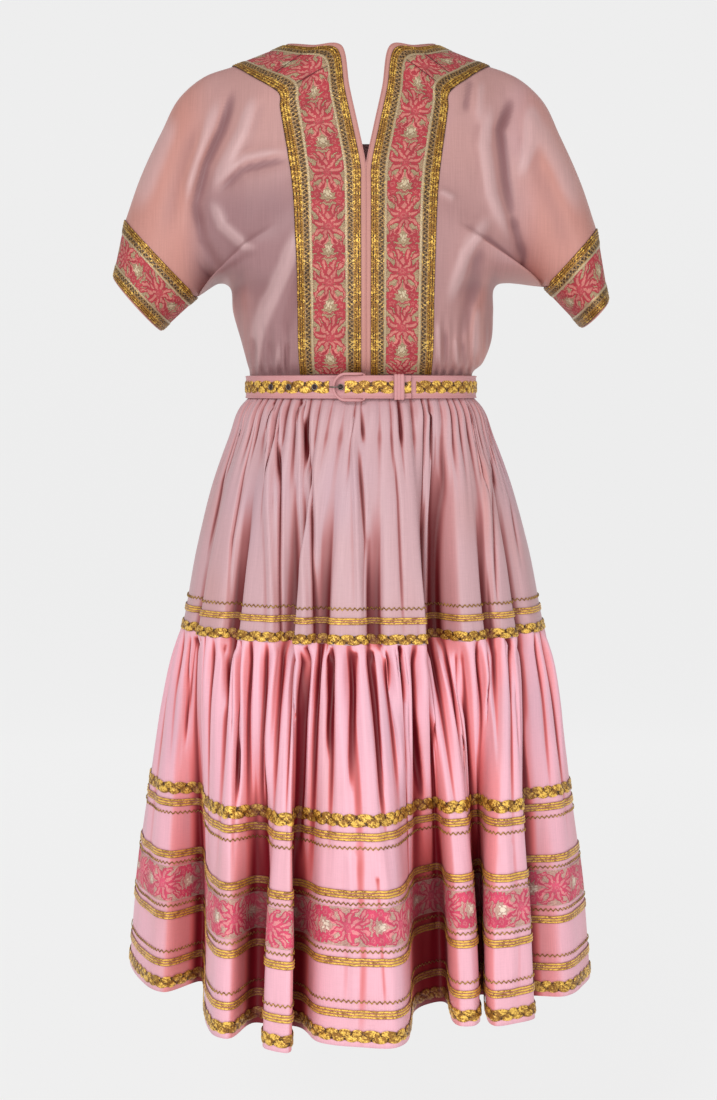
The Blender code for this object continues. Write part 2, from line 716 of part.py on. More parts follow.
def bodice_normals(points):
    """Outward normals of a half bodice whose rows run up and whose columns run outward."""
    up = differences(points, 0)
    out = differences(points, 1)
    normals = np.cross(out, up)
    size = np.linalg.norm(normals, axis=-1, keepdims=True)
    normals = np.where(size > 0, normals / np.where(size > 0, size, 1), 0)
    seam = np.abs(points[..., 1]) < SEAM_SIDE
    normals[seam, 1] = 0
    lengths = np.linalg.norm(normals, axis=-1, keepdims=True)
    return normals / np.where(lengths > 0, lengths, 1)


def differences(points, axis):
    """Steps between neighbours along an axis, one-sided beside a missing point."""
    pad = [(0, 0)] * 3
    pad[axis] = (1, 1)
    wide = np.pad(points, pad, constant_values=np.nan)
    count = points.shape[axis]
    before = np.take(wide, np.arange(count), axis)
    after = np.take(wide, np.arange(2, count + 2), axis)
    before = np.where(np.isnan(before), points, before)
    after = np.where(np.isnan(after), points, after)
    return np.nan_to_num(after - before)


def numbered(points, start=0):
    """Point numbers of a grid, with -1 where a point is missing."""
    numbers = start + np.arange(points.shape[0] * points.shape[1]).reshape(points.shape[:2])
    return np.where(np.isnan(points[..., 0]), -1, numbers)


def mirrored(points, normals, side, back):
    """Puts a half bodice on its side of the dress and behind the side seams for the back."""
    flip = np.array([1.0, 1.0, 1.0])
    if side == "left":
        flip[0] = -1.0
    if back:
        flip[1] = -1.0
    return points * flip, normals * flip


def turned(faces, side):
    """Faces of a front with their outer side out."""
    if side == "right":
        return [tuple(reversed(face)) for face in faces]
    return faces


def front(side):
    """One front with its sleeve: the edge of the left front lies beside that of the right."""
    points = bodice_grid(side, False)
    normals = bodice_normals(points)
    points, normals = mirrored(points, normals, side, False)
    if side == "left":
        points[..., 0] += centre_shift(points[..., 0])
    else:
        points[:, 0, 0] += SEAM
    numbers = numbered(points)
    flat, facing = np.nan_to_num(points).reshape(-1, 3), normals.reshape(-1, 3)
    walls = turned(cells(numbers, falling=True), side)
    slab(f"bodice_front_{side}", "taffeta_rose", flat, facing, walls, -CLOTH / 2, CLOTH / 2)
    band_strips(flat, facing, numbers, side)
    return points, normals


def centre_shift(x):
    """The left front reaches past the middle to the right one, less so to the side and shoulder."""
    reach = np.clip((SHIFT_END + x) / (SHIFT_END - FRONT_ROWS[0][2]), 0, 1)
    by_row = np.array([1.0] * (len(FRONT_ROWS) - 2) + [0.5, 0.0])
    return (2 * CENTRE_X - SEAM) * reach * by_row[:, None]


def lying_on(name, finish, points, normals, faces, high):
    base = CLOTH / 2 + TRIM_GAP
    return slab(name, finish, points, normals, faces, base, base + high)


def band_strips(points, normals, numbers, side):
    """Brocade ribbon and its two gold braids from waist to shoulder."""
    strips = (
        (f"braid_inner_{side}", "gold_braid", (1, 2), BRAID_HIGH),
        (f"brocade_front_{side}", "brocade", (2, 3), RIBBON_HIGH),
        (f"braid_outer_{side}", "gold_braid", (3, 4), BRAID_HIGH),
    )
    for name, finish, columns, high in strips:
        strip = numbers[1:, list(columns)]
        faces = turned(cells(strip, falling=True), side)
        lying_on(name, finish, drawn_in(points, strip), normals, faces, high)


def drawn_in(points, strip):
    """Narrows a strip by a seam's gap on both long sides, so that neighbours don't touch."""
    spots = points.copy()
    near, far = strip.T
    across = unit(points[far] - points[near])
    spots[near] += across * SEAM
    spots[far] -= across * SEAM
    return spots


def back():
    """The back in one piece: both halves share the middle column."""
    halves = []
    for side in ("left", "right"):
        points = bodice_grid(side, True)
        points[NECK_ROW + 1:, :NECK_COLUMN] = np.nan
        normals = bodice_normals(points)
        normals[:, 0, 0] = 0
        normals = unit_or_zero(normals)
        halves.append(mirrored(points, normals, side, True))
    grid = np.concatenate([halves[0][0][:, :0:-1], halves[1][0]], axis=1)
    facing = np.concatenate([halves[0][1][:, :0:-1], halves[1][1]], axis=1)
    numbers = numbered(grid)
    flat, facing_flat = np.nan_to_num(grid).reshape(-1, 3), facing.reshape(-1, 3)
    walls = mirror_cells(numbers)
    slab("bodice_back", "taffeta_rose", flat, facing_flat, walls, -CLOTH / 2, CLOTH / 2)
    neck_bands(flat, facing_flat, numbers)
    return halves


def unit_or_zero(vectors):
    size = np.linalg.norm(vectors, axis=-1, keepdims=True)
    return vectors / np.where(size > 0, size, 1)


def neck_bands(points, normals, numbers):
    """Band round the back of the neck: across the back, then up to each shoulder, mitred at the corners."""
    middle = numbers.shape[1] // 2
    for name, finish, inner, outer, high in (
        ("braid_inner_back", "gold_braid", 1, 2, BRAID_HIGH),
        ("brocade_back", "brocade", 2, 3, RIBBON_HIGH),
        ("braid_outer_back", "gold_braid", 3, 4, BRAID_HIGH),
    ):
        low = NECK_ROW - outer
        high_row = NECK_ROW - inner
        reach = NECK_COLUMN + outer
        block = numbers[low:, middle - reach:middle + reach + 1].copy()
        wide = outer - inner
        block[high_row - low + 1:, wide + 1:2 * reach - wide] = -1
        spots = shrunk(points, block, wide, high_row - low)
        faces = mirror_cells(block)
        lying_on(name, finish, spots, normals, faces, high)


def shrunk(points, block, wide, deep):
    """Draws the long sides of a U-shaped block in by a seam's gap."""
    spots = points.copy()
    last = block.shape[1] - 1
    for row in range(block.shape[0]):
        for near, far in ((0, wide), (last, last - wide)):
            a, b = block[row, near], block[row, far]
            across = unit(points[b] - points[a]) * SEAM
            spots[a] += across
            if row >= deep:
                spots[b] -= across
    for column in range(last + 1):
        a, b = block[0, column], block[deep, column]
        up = unit(points[b] - points[a]) * SEAM
        spots[a] += up
        if wide <= column <= last - wide:
            spots[b] -= up
    return spots


def sleeve_rings(side, front_half, back_half):
    """Cuff ribbon and its braids, each a ring round the sleeve over both halves."""
    strips = (
        (f"cuff_braid_top_{side}", "gold_braid", 0, BRAID_HIGH),
        (f"cuff_brocade_{side}", "brocade", 1, RIBBON_HIGH),
        (f"cuff_braid_low_{side}", "gold_braid", 2, BRAID_HIGH),
    )
    for name, finish, step, high in strips:
        columns = [step - len(CUFF_SHARES), step - len(CUFF_SHARES) + 1]
        lines = []
        for half, order in ((front_half, slice(None)), (back_half, slice(-2, 0, -1))):
            spots, facing = (grid[UNDERARM_ROW:, columns] for grid in half)
            lines.append((spots[order], facing[order]))
        spots = np.concatenate([line[0] for line in lines]).transpose(1, 0, 2)
        facing = np.concatenate([line[1] for line in lines]).transpose(1, 0, 2)
        across = unit(spots[1] - spots[0]) * TRIM_GAP
        spots = np.stack([spots[0] + across, spots[1] - across])
        faces = ring_cells(len(lines[0][0]), spots.shape[1])
        if side == "left":
            faces = [tuple(reversed(face)) for face in faces]
        lying_on(name, finish, spots.reshape(-1, 3), facing.reshape(-1, 3), faces, high)


def ring_cells(front_count, count):
    """Triangles of a ring round a sleeve, split as the cloth beneath is on each half."""
    numbers = np.arange(2 * count).reshape(2, count)
    behind = np.hstack([numbers[:, front_count - 1:], numbers[:, :1]])
    return cells(numbers[:, :front_count], falling=True) + cells(behind)


def zip_tape(points, normals):
    """Tape of the hidden zip behind the meeting edges of the fronts."""
    edge = points[ZIP_ROWS, 0]
    spots = np.stack([edge, edge], axis=1)
    spots[..., 0] = CENTRE_X + np.array([-ZIP_HALF_WIDE, ZIP_HALF_WIDE])
    spots[..., 1] = points[ZIP_ROWS, 1:2, 1]
    facing = np.repeat(normals[ZIP_ROWS, :1], 2, axis=1)
    numbers = np.arange(spots.size // 3).reshape(spots.shape[:2])
    faces = [tuple(reversed(face)) for face in cells(numbers)]
    top = -CLOTH / 2 - ZIP_GAP
    flat, facing = spots.reshape(-1, 3), facing.reshape(-1, 3)
    slab("zip_tape", "taffeta_rose", flat, facing, faces, top - ZIP_THICK, top)


# Belt


def tab_rise(x):
    keys, heights = zip(*TAB_RISE)
    return smooth(np.clip(x, keys[0], keys[-1]), keys, heights)


def round_belt(angle):
    """Points and outward directions on the belt's inner face; 0 is the middle of the front."""
    spots = np.stack([BELT_HALF_WIDE * np.sin(angle), -BELT_HALF_DEEP * np.cos(angle)], axis=-1)
    out = np.stack([np.sin(angle) / BELT_HALF_WIDE, -np.cos(angle) / BELT_HALF_DEEP], axis=-1)
    return spots, unit(out)


def belt_angle(x):
    return math.asin(x / BELT_HALF_WIDE)


def belt_band(name, finish, angle, half_high, low, high):
    """A band along the strap; from the left side on it rises with the tab."""
    spots, out = round_belt(angle)
    on_tab = (angle > math.pi) | (angle[-1] < math.pi)
    at_front = np.cos(angle) > FRONT_COSINE
    rise = np.where(on_tab & at_front, tab_rise(spots[:, 0]), 0.0)
    spots = spots + out * rise[:, None]
    count = len(angle)
    rows = [np.column_stack([spots, np.full(count, z)]) for z in (BELT_Z + half_high, BELT_Z - half_high)]
    facing = np.tile(np.column_stack([out, np.zeros(count)]), (2, 1))
    numbers = np.arange(2 * count).reshape(2, count)
    slab(name, finish, np.concatenate(rows), facing, cells(numbers), low, high)


def belt():
    """The strap once round from beneath the buckle to the tab's end, with its braid."""
    start, end = (belt_angle(x) for x in STRAP_X)
    strap = np.linspace(start, end + 2 * math.pi, BELT_COLUMNS)
    belt_band("belt", "taffeta_rose", strap, BELT_HIGH / 2, 0.0, BELT_THICK)
    start, end = (belt_angle(x) for x in BELT_BRAID_X)
    end += 2 * math.pi
    along = np.concatenate([[start], strap[(strap > start) & (strap < end)], [end]])
    start, end = (belt_angle(x) for x in TAB_BRAID_X)
    on_tab = np.linspace(start, end, TAB_COLUMNS)
    base = BELT_THICK + TRIM_GAP
    belt_band("belt_braid", "gold_braid", along, BELT_BRAID_HALF, base, base + BELT_BRAID_THICK)
    belt_band("belt_braid_tab", "gold_braid", on_tab, BELT_BRAID_HALF, base, base + BELT_BRAID_THICK)


def belt_spot(x, out, z):
    """A point on the front of the belt at an x, a distance out from its inner face, and its facing."""
    spots, facing = round_belt(np.array([belt_angle(x)]))
    spot = spots[0] + facing[0] * out
    return np.array([*spot, z]), np.array([*facing[0], 0.0])


def ring_loop(centre, out, along, size):
    turns = np.arange(FRAME_SIDES) / FRAME_SIDES * 2 * math.pi
    return np.array([centre + size * (out * math.cos(turn) + along * math.sin(turn)) for turn in turns])


def buckle():
    """Covered buckle: a straight bar at the right under the tab, a rounded rim at the left over the strap."""
    path = buckle_path()
    steps = unit(np.roll(path, -1, axis=0) - np.roll(path, 1, axis=0))
    loops = []
    for spot, step in zip(path, steps):
        out = np.array([0.0, -1.0, 0.0])
        out = unit(out - step * out.dot(step))
        loops.append(ring_loop(spot, out, np.cross(step, out), FRAME_THICK / 2))
    tube("buckle", "taffeta_rose", loops, True)


def buckle_path():
    """Closed path of the frame: down the bar, round the rim and back."""
    half = BUCKLE_HALF_HIGH - FRAME_THICK / 2
    plan = [(BAR_X, -half), (BAR_X - BAR_TURN, -half)]
    for turn in np.radians(np.linspace(-90, -270, 9)):
        plan.append((RIM_X + BUCKLE_BEND * (1 + math.cos(turn)), half * math.sin(turn)))
    plan += [(BAR_X - BAR_TURN, half), (BAR_X, half)]
    path = []
    for x, height in plan:
        share = (BAR_X - x) / (BAR_X - RIM_X)
        out = BAR_OUT + (RIM_OUT - BAR_OUT) * min(share * LEG_RISE, 1.0)
        path.append(belt_spot(x, out, BELT_Z + height)[0])
    return np.array(path)


def keeper():
    """Loop round both layers of the belt."""
    inner = (-SEAM, 2 * BELT_THICK + TRIM_GAP * 2, BELT_HIGH / 2 + SEAM)
    outer = (inner[0] - KEEPER_THICK, inner[1] + KEEPER_THICK, inner[2] + KEEPER_THICK)
    near_in, near_out, far_in, far_out = (
        keeper_loop(x, *size) for x in KEEPER_X for size in (inner, outer)
    )
    tube("belt_keeper", "taffeta_rose", [near_in, near_out, far_out, far_in], True)


def keeper_loop(x, low, high, half_high):
    corners = ((low, half_high), (high, half_high), (high, -half_high), (low, -half_high))
    return [belt_spot(x, out, BELT_Z + height)[0] for out, height in corners]


def eyelet(number, x):
    """A metal ring set in the strap's face."""
    base = BELT_THICK + 2 * TRIM_GAP + BELT_BRAID_THICK + float(tab_rise(x))
    middle, facing = belt_spot(x, base, BELT_Z)
    upward = np.array([0.0, 0.0, 1.0])
    side = np.cross(upward, facing)
    near, far = EYELET_CROWN
    loops = []
    for turn in np.arange(EYELET_SIDES) / EYELET_SIDES * 2 * math.pi:
        arm = side * math.cos(turn) + upward * math.sin(turn)
        loops.append([
            middle + arm * near + facing * EYELET_HIGH,
            middle + arm * far + facing * EYELET_HIGH,
            middle + arm * EYELET_RADIUS,
            middle + arm * EYELET_HOLE,
        ])
    tube(f"eyelet_{number}", "metal", loops, True)


def prong():
    """Pin from the last eyelet to the rim, which its tip rests on."""
    loops = []
    for x, out in PRONG_ROUTE:
        centre, facing = belt_spot(x, out, BELT_Z)
        loops.append(ring_loop(centre, facing, np.array([0.0, 0.0, 1.0]), PRONG_RADIUS))
    tube("prong", "metal", loops)


def main():
    clear_scene()
    right = front("right")
    left = front("left")
    back_left, back_right = back()
    sleeve_rings("right", right, back_right)
    sleeve_rings("left", left, back_left)
    zip_tape(*right)
    belt()
    buckle()
    prong()
    keeper()
    for number, x in enumerate(EYELETS_X, 1):
        eyelet(number, x)
    skirt()


main()
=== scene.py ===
import math

import bpy
import numpy as np
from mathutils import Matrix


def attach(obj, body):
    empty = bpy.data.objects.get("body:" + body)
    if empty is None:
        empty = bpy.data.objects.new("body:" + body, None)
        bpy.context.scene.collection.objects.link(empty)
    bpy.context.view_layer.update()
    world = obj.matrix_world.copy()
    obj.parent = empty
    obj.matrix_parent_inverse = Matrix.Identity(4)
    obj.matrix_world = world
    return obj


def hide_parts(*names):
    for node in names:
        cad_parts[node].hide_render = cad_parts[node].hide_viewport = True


TURN = 2 * math.pi
KERNEL_REACH = 2.5

# Camera and the picture's scale
CAMERA_FAR = 2.2
CAMERA_Z = -0.392
PIXEL = 0.00115
EYE_PIXEL = (361.0, 387.0)
CAMERA_LENS = 62.61
CAMERA_SENSOR = 36.0
CAMERA_SHIFT = (-0.00227, -0.1482)

# Heights down the dress
WAIST_SEAM_Z = -0.4032
TIER_SEAM_Z = -0.6668
HEM_Z = -1.068
SEAM_LAP = 0.0015

# Skirt outline by height: z, half width, half depth
SKIRT_SIZE = (
    (-0.4032, 0.127, 0.09),
    (-0.41, 0.1325, 0.095),
    (-0.452, 0.152, 0.112),
    (-0.5, 0.171, 0.1285),
    (-0.568, 0.189, 0.146),
    (-0.668, 0.208, 0.166),
    (-0.74, 0.227, 0.19),
    (-0.8, 0.237, 0.206),
    (-0.9, 0.249, 0.226),
    (-1.068, 0.262, 0.245),
)

# Folds at a tier's lower edge: ridge deg, half deg, left share, right share, valley deg, half deg, share
UPPER_FOLDS = (
    (-88, 14, 0.97, 0.98, -66, 3.0, 0.945),
    (-55, 6, 1.0, 0.99, -45, 2.0, 0.93),
    (-35, 6, 0.98, 0.97, -22, 2.5, 0.88),
    (-18, 2, 1.01, 1.0, -12, 1.5, 0.95),
    (-4, 5, 1.0, 1.0, 4, 1.5, 0.96),
    (13, 6, 1.0, 1.01, 27, 3.5, 0.78),
    (37, 4, 0.99, 0.99, 45, 1.5, 0.95),
    (52, 4, 1.0, 1.0, 60, 2.0, 0.94),
    (78, 11, 1.0, 1.0, 97, 3.0, 0.94),
    (112, 8, 1.0, 1.0, 126, 3.0, 0.9),
    (141, 8, 1.0, 1.0, 155, 2.5, 0.93),
    (172, 9, 1.0, 1.0, 188, 3.0, 0.88),
    (204, 8, 1.0, 1.0, 219, 2.5, 0.93),
    (233, 7, 1.0, 1.0, 247, 2.5, 0.92),
)
UPPER_QUARTERS = (0, 4, 8, 11)
HEM_FOLDS = (
    (-90, 17, 1.07, 0.88, -79, 3.0, 0.7),
    (-34, 3, 1.0, 1.03, -30, 2.5, 0.8),
    (-18, 3, 1.06, 1.09, -21, 2.0, 0.775),
    (-1, 9, 0.94, 1.0, 35, 6.0, 0.52),
    (31, 2, 0.82, 0.85, 58, 2.5, 0.59),
    (43, 6, 0.9, 0.94, 63, 2.5, 0.76),
    (81, 11, 0.92, 1.0, 104, 3.0, 0.76),
    (119, 7, 0.97, 1.0, 130, 3.0, 0.76),
    (142, 6, 1.0, 0.98, 152, 3.0, 0.8),
    (164, 7, 0.98, 1.02, 175, 3.5, 0.74),
    (187, 7, 1.0, 1.0, 197, 3.0, 0.8),
    (208, 5, 1.01, 0.98, 216, 3.0, 0.76),
    (226, 5, 0.99, 1.0, 234, 2.5, 0.8),
    (243, 3, 1.0, 1.0, 249, 1.5, 0.84),
)
HEM_QUARTERS = (0, 3, 6, 10)

# How far a crown stands out, the steps between two turning points, and how fast the folds grow downward
CROWN = 1.012
FOLD_STEPS = 48
STATIONS_A_FOLD = 5
FOLD_POWER = 2.2
FLANK_POWER = 1.5
ROW_POWER = 1.15

# Fine grid of each tier
COLUMNS = 1440
UPPER_ROWS = 46
LOWER_ROWS = 78

# Gathers of each tier: number, jitter, height by share of the tier, shortest and longest run,
# and the quieter places: middle, half width and share taken off
UPPER_GATHERS = (
    64, 0.36, ((0.0, 0.0014), (0.04, 0.0032), (0.14, 0.0024), (0.32, 0.001), (1.0, 0.0003)), 0.2, 1.2,
    ((0.247, 0.055, 0.62),),
)
LOWER_GATHERS = (
    70, 0.38, ((0.0, 0.0012), (0.03, 0.0048), (0.2, 0.0046), (0.5, 0.002), (1.0, 0.0008)), 0.35, 1.5,
    ((0.045, 0.05, 0.6), (0.455, 0.035, 0.45)),
)

# Size of the gathers and its spread, how far they drift sideways, where they start to fade and how far,
# and how narrow the valleys are
GATHER_SIZE = 0.78
GATHER_SPREAD = 0.34
GATHER_DRIFT = 0.010
DRIFT_BEATS = 9
GATHER_FADE = 0.8
FADE_START = 0.35
VALLEY_POWER = 3.2

# The folds settle below the upper edge: reach in rows and columns, and shares of the tier
SETTLE_REACH = (0.6, 13.0)
SETTLE_FROM = (0.0, 0.06)
SETTLE_TO = (0.25, 0.85)

# Valleys that get painted shade: reach in rows and columns, closed round, depth in metres
GATHER_HOLLOW = ((1.5, 3.6), True, 0.0007)
FOLD_HOLLOW = ((3.0, 18.0), True, 0.0045)
HEM_HOLLOW = ((3.0, 18.0), True, 0.0085)
GATHER_SHADE = 0.45
CREASE_HOLLOW = ((2.0, 2.5), False, 0.001)
BODY_HOLLOW = ((7.0, 8.0), False, 0.008)

# Turned hem of the lower tier
HEM_TURN = 0.0012
HEM_DROP = 0.0004
HEM_FOLD = 0.0022

# Creases of the skirt's front, in pixels: half width, depth in millimetres, then the line downward.
# One that starts between these heights, below the gathers of the waist, fades in.
FADE_IN = (425, 600)
CREASE_HEAD = 0.30
CREASE_FOOT = 0.40
CREASE_END = 0.04
UPPER_CREASES = (
    (1.8, -6.0, (276, 404), (280, 500), (281, 605), (282, 700)),
    (4.0, 4.0, (270, 410), (268, 500), (272, 600), (272, 680)),
    (2.4, -6.5, (304, 404), (312, 520), (315, 580), (316, 680)),
    (4.0, 3.5, (300, 410), (300, 500), (304, 600), (304, 680)),
    (1.8, -2.6, (362, 400), (363, 444)),
    (2.2, -2.0, (400, 404), (402, 448)),
    (8.0, -12.0, (447, 432), (443, 520), (441, 600), (441, 700)),
    (3.0, 4.5, (430, 415), (425, 520), (424, 640), (424, 700)),
    (2.0, -4.0, (262, 402), (244, 470), (232, 540), (228, 660)),
    (2.2, -3.5, (488, 404), (494, 480), (497, 600), (498, 680)),
    (4.0, 4.0, (484, 430), (488, 520), (489, 640)),
    (3.0, -3.5, (470, 406), (480, 450), (484, 500)),
    (2.0, -3.5, (486, 412), (512, 500), (524, 580)),
    (3.0, -3.0, (358, 440), (366, 540), (366, 660)),
    (3.0, 2.5, (352, 420), (356, 500), (360, 640)),
    (2.6, -2.5, (392, 430), (398, 500), (404, 640)),
    (2.2, -3.0, (250, 404), (222, 480), (206, 560)),
)
LOWER_CREASES = (
    (3.5, -7.0, (226, 648), (234, 720), (238, 810)),
    (4.0, -8.0, (308, 650), (303, 720), (300, 806), (300, 860)),
    (3.0, -5.0, (330, 652), (331, 700), (328, 760)),
    (4.0, -8.0, (400, 652), (413, 730), (423, 806)),
    (4.0, 4.5, (384, 652), (398, 730), (404, 800)),
    (3.5, -6.0, (196, 640), (186, 720), (176, 790)),
    (3.5, -6.0, (452, 640), (462, 720), (470, 800)),
    (3.5, 4.0, (480, 640), (492, 720), (500, 810)),
    (3.0, -5.0, (508, 636), (520, 720), (528, 800)),
    (3.0, -4.0, (355, 655), (352, 720), (350, 800)),
    (3.5, 4.0, (276, 652), (268, 740), (266, 820)),
    (3.0, -4.0, (372, 655), (378, 740), (384, 850)),
    (5.0, 2.5, (350, 860), (355, 960), (352, 1045)),
    (5.0, -2.5, (378, 880), (384, 980), (388, 1045)),
    (6.0, 2.5, (505, 850), (512, 930), (510, 1020)),
    (6.0, -3.0, (150, 790), (146, 880), (150, 970)),
)

# The creases change over to the back's between these depths, and fade where the cloth turns sideways.
# Behind they are moved sideways by some pixels and are only partly as high.
FRONT_TO_BACK = (-0.05, 0.02)
CREASED_FACING = (0.10, 0.55)
BACK_SHIFT = 7
BACK_CREASES = 0.5

# Each tier: rows, gathers, seed, creases and look
TIERS = {
    "upper": (UPPER_ROWS, UPPER_GATHERS, 3, UPPER_CREASES, "rose"),
    "lower": (LOWER_ROWS, LOWER_GATHERS, 11, LOWER_CREASES, "pink"),
}
SKIRT_PANELS = (("upper", "taffeta_rose", "belt_cloth"), ("lower", "taffeta_pink", "upper_front_cloth"))

# Trims of the skirt: tier, kind, top and bottom as shares of the tier
TRIMS = (
    ("upper", "rickrack", 0.848, 0.866),
    ("upper", "double", 0.892, 0.92),
    ("upper", "scallop", 0.958, 1.004),
    ("lower", "scallop", 0.424, 0.458),
    ("lower", "double", 0.471, 0.492),
    ("lower", "rickrack", 0.503, 0.515),
    ("lower", "double", 0.612, 0.633),
    ("lower", "rickrack", 0.64, 0.652),
    ("lower", "rickrack", 0.757, 0.769),
    ("lower", "double", 0.779, 0.8),
    ("lower", "rickrack", 0.882, 0.894),
    ("lower", "double", 0.908, 0.929),
    ("lower", "scallop", 0.957, 0.989),
)

# Trims that stand for a solid, by their place in the table; then the ribbon between its rickracks
CARRIED_TRIMS = {2: ("seam_braid",), 3: ("border_braid",), len(TRIMS) - 1: ("hem_braid",)}
SKIRT_RIBBON = (0.655, 0.751)
SKIRT_RIBBON_STEPS = 1400

# Trims on the cloth: steps round the skirt and rows across, then the lift of ground and threads
SKIRT_TRIM_GRID = {"double": (1000, 7), "scallop": (1300, 9)}
SKIRT_TRIM_LIFT = (0.0010, 0.0009)
EDGE_LIFT = (0.0011, 0.0012)
RIBBON_LIFT = 0.0009
RIBBON_WIDE = 0.037
EDGE_STEP = 0.0009
RIBBON_STEP = 0.0022
STRIP_ROWS = 19
RIM_STEEP = 14

# Gold edging: shares of its width that the cords and the lace reach to, the pale stripe beside them,
# twists of the cords, zigzag and edges of the lace, and the leaves of the scalloped braid
CORDS_TO = 0.48
LACE_TO = 0.84
STRIPE_FROM = 0.90
STRIPE_HIGH = 0.35
CORD_COUNT = 3
CORD_LEAN = 0.8
STRAND_HIGH = 0.30
EDGE_TWIST = 0.0029
DOUBLE_TWIST = 0.0036
LACE_WAVE = 0.0052
ZIGZAG_HALF = 0.36
ZIGZAG_THICK = 0.16
LACE_EDGES = (0.93, 0.05)
LACE_EDGE_THICK = 0.08
LACE_EDGE_HIGH = 0.8
LEAF_LONG = 0.0150
LEAF_RIBS = 5
SCALLOP_DEEP = 0.34

# Rickrack: length and height of a wave, half width, then heights and tones across it; the paler middle
# tone is a painted highlight
WAVE_LONG = 0.0054
WAVE_STEPS = 6
WAVE_HIGH = 0.0012
WAVE_HALF = 0.0008
WAVE_LIFT = (0.0009, 0.0016, 0.0009)
WAVE_TONE = (0.40, 0.85, 0.40)

# Bodice: its shape, the same as that of its solids. Offsets lie across the band, from the neck edge.
CENTRE_X = 0.0055
SEAM = 0.0003
BAND_OFFSETS = (0.0, 0.005, 0.021, 0.057, 0.073)
SHIFT_END = 0.1275
BODY_SIZE = (
    (-0.402, 0.1275, 0.1275, 0.0905, 0.0905),
    (-0.377, 0.1278, 0.1278, 0.0908, 0.0908),
    (-0.364, 0.14, 0.131, 0.106, 0.099),
    (-0.338, 0.15, 0.138, 0.118, 0.106),
    (-0.306, 0.152, 0.147, 0.125, 0.111),
    (-0.279, 0.153, 0.15, 0.128, 0.114),
    (-0.26, 0.178, 0.178, 0.1285, 0.116),
    (-0.23, 0.188, 0.19, 0.127, 0.118),
    (-0.19, 0.185, 0.188, 0.122, 0.118),
    (-0.148, 0.176, 0.178, 0.114, 0.113),
    (-0.11, 0.169, 0.169, 0.104, 0.103),
    (-0.06, 0.166, 0.166, 0.088, 0.086),
    (-0.017, 0.168, 0.168, 0.07, 0.064),
    (0.01, 0.17, 0.17, 0.06, 0.05),
)
SHOULDER_LINE = (
    (0.02, 0.06),
    (0.033, 0.043),
    (0.06, 0.018),
    (0.087, 0.0),
    (0.1465, -0.0235),
    (0.18, -0.037),
    (0.208, -0.062),
    (0.23, -0.106),
    (0.2535, -0.1605),
    (0.27, -0.21),
    (0.284, -0.29),
)
OVERARM = SHOULDER_LINE[4:10]
SHOULDER_ROUND = 0.06
FRONT_ROWS = (
    (0.0055, -0.402, 0.078, -0.402, 0.0, 0),
    (0.0055, -0.377, 0.078, -0.377, 0.0, 0),
    (0.0055, -0.364, 0.0785, -0.364, 0.0, 0),
    (0.0055, -0.338, 0.079, -0.338, 0.0, 0),
    (0.0055, -0.3, 0.079, -0.3, 0.0, 0),
    (0.0055, -0.262, 0.08, -0.262, 0.0, 0),
    (0.0055, -0.228, 0.081, -0.228, 0.0, 0),
    (0.0055, -0.196, 0.082, -0.196, 0.05, 0),
    (0.0055, -0.172, 0.0835, -0.172, 0.15, 34),
    (0.006, -0.148, 0.086, -0.148, 0.3, 60),
    (0.0145, -0.105, 0.0915, -0.108, 0.48, 84),
    (0.024, -0.06, 0.095, -0.082, 0.66, 108),
    (0.0322, -0.012, 0.097, -0.064, 0.82, 134),
    (0.06, -0.0085, 0.121, -0.043, 0.94, 158),
    (0.087, 0.0, 0.1465, -0.0235, 1.0, 180),
)
BACK_ROWS = (
    (0.064, -0.402, 0.102, -0.402, 0.0, 0),
    (0.064, -0.377, 0.102, -0.377, 0.0, 0),
    (0.066, -0.364, 0.106, -0.364, 0.0, 0),
    (0.069, -0.338, 0.112, -0.338, 0.0, 0),
    (0.072, -0.3, 0.118, -0.3, 0.0, 0),
    (0.075, -0.262, 0.124, -0.262, 0.0, 0),
    (0.077, -0.228, 0.135, -0.226, 0.0, 0),
    (0.078, -0.196, 0.145, -0.192, 0.05, 0),
    (0.078, -0.173, 0.151, -0.173, 0.15, 30),
    (0.078, -0.157, 0.151, -0.157, 0.3, 54),
    (0.078, -0.121, 0.151, -0.121, 0.48, 82),
    (0.078, -0.105, 0.151, -0.105, 0.66, 106),
    (0.078, -0.1, 0.151, -0.094, 0.82, 130),
    (0.083, -0.05, 0.15, -0.058, 0.94, 156),
    (0.087, 0.0, 0.1465, -0.0235, 1.0, 180),
)
NECK_ROW = 12
SIDE_SEAM_Z = (-0.402, -0.377, -0.364, -0.338, -0.306, -0.279)
UNDERARM = {"right": (0.169, -0.2725), "left": (0.166, -0.2735)}
UNDERARM_ROW = 7
CUFF_RINGS = {
    "right": ((0.2105, -0.277, 0.2695, -0.21, 0.056), (0.255, -0.323, 0.282, -0.292, 0.062)),
    "left": ((0.188, -0.288, 0.27, -0.2, 0.056), (0.23, -0.3265, 0.283, -0.266, 0.06)),
}
SLEEVE_DEPTH = ((0.0, 0.03), (0.2, 0.052), (0.45, 0.064), (0.75, 0.064), (1.0, 0.056))
MERGE_POWER = 3.5

# The line at the underarm is drawn out: rows of reach, then shares of the sleeve and rows of the table
SOFT_ROWS = 6.0
SOFT_INWARD = (0.15, 0.45)
SOFT_FROM = (3.0, 5.0)
SOFT_TO = (8.0, 9.5)

# Creases are whole where the cloth is this deep
CREASED_DEPTH = 0.03

# Fine grid of the bodice: rows between two rows of the tables, columns of band, sleeve, cuff and back
ROW_STEPS = 9
BAND_STEPS = 30
SLEEVE_STEPS = 72
CUFF_STEPS = 22
BACK_STEPS = 28

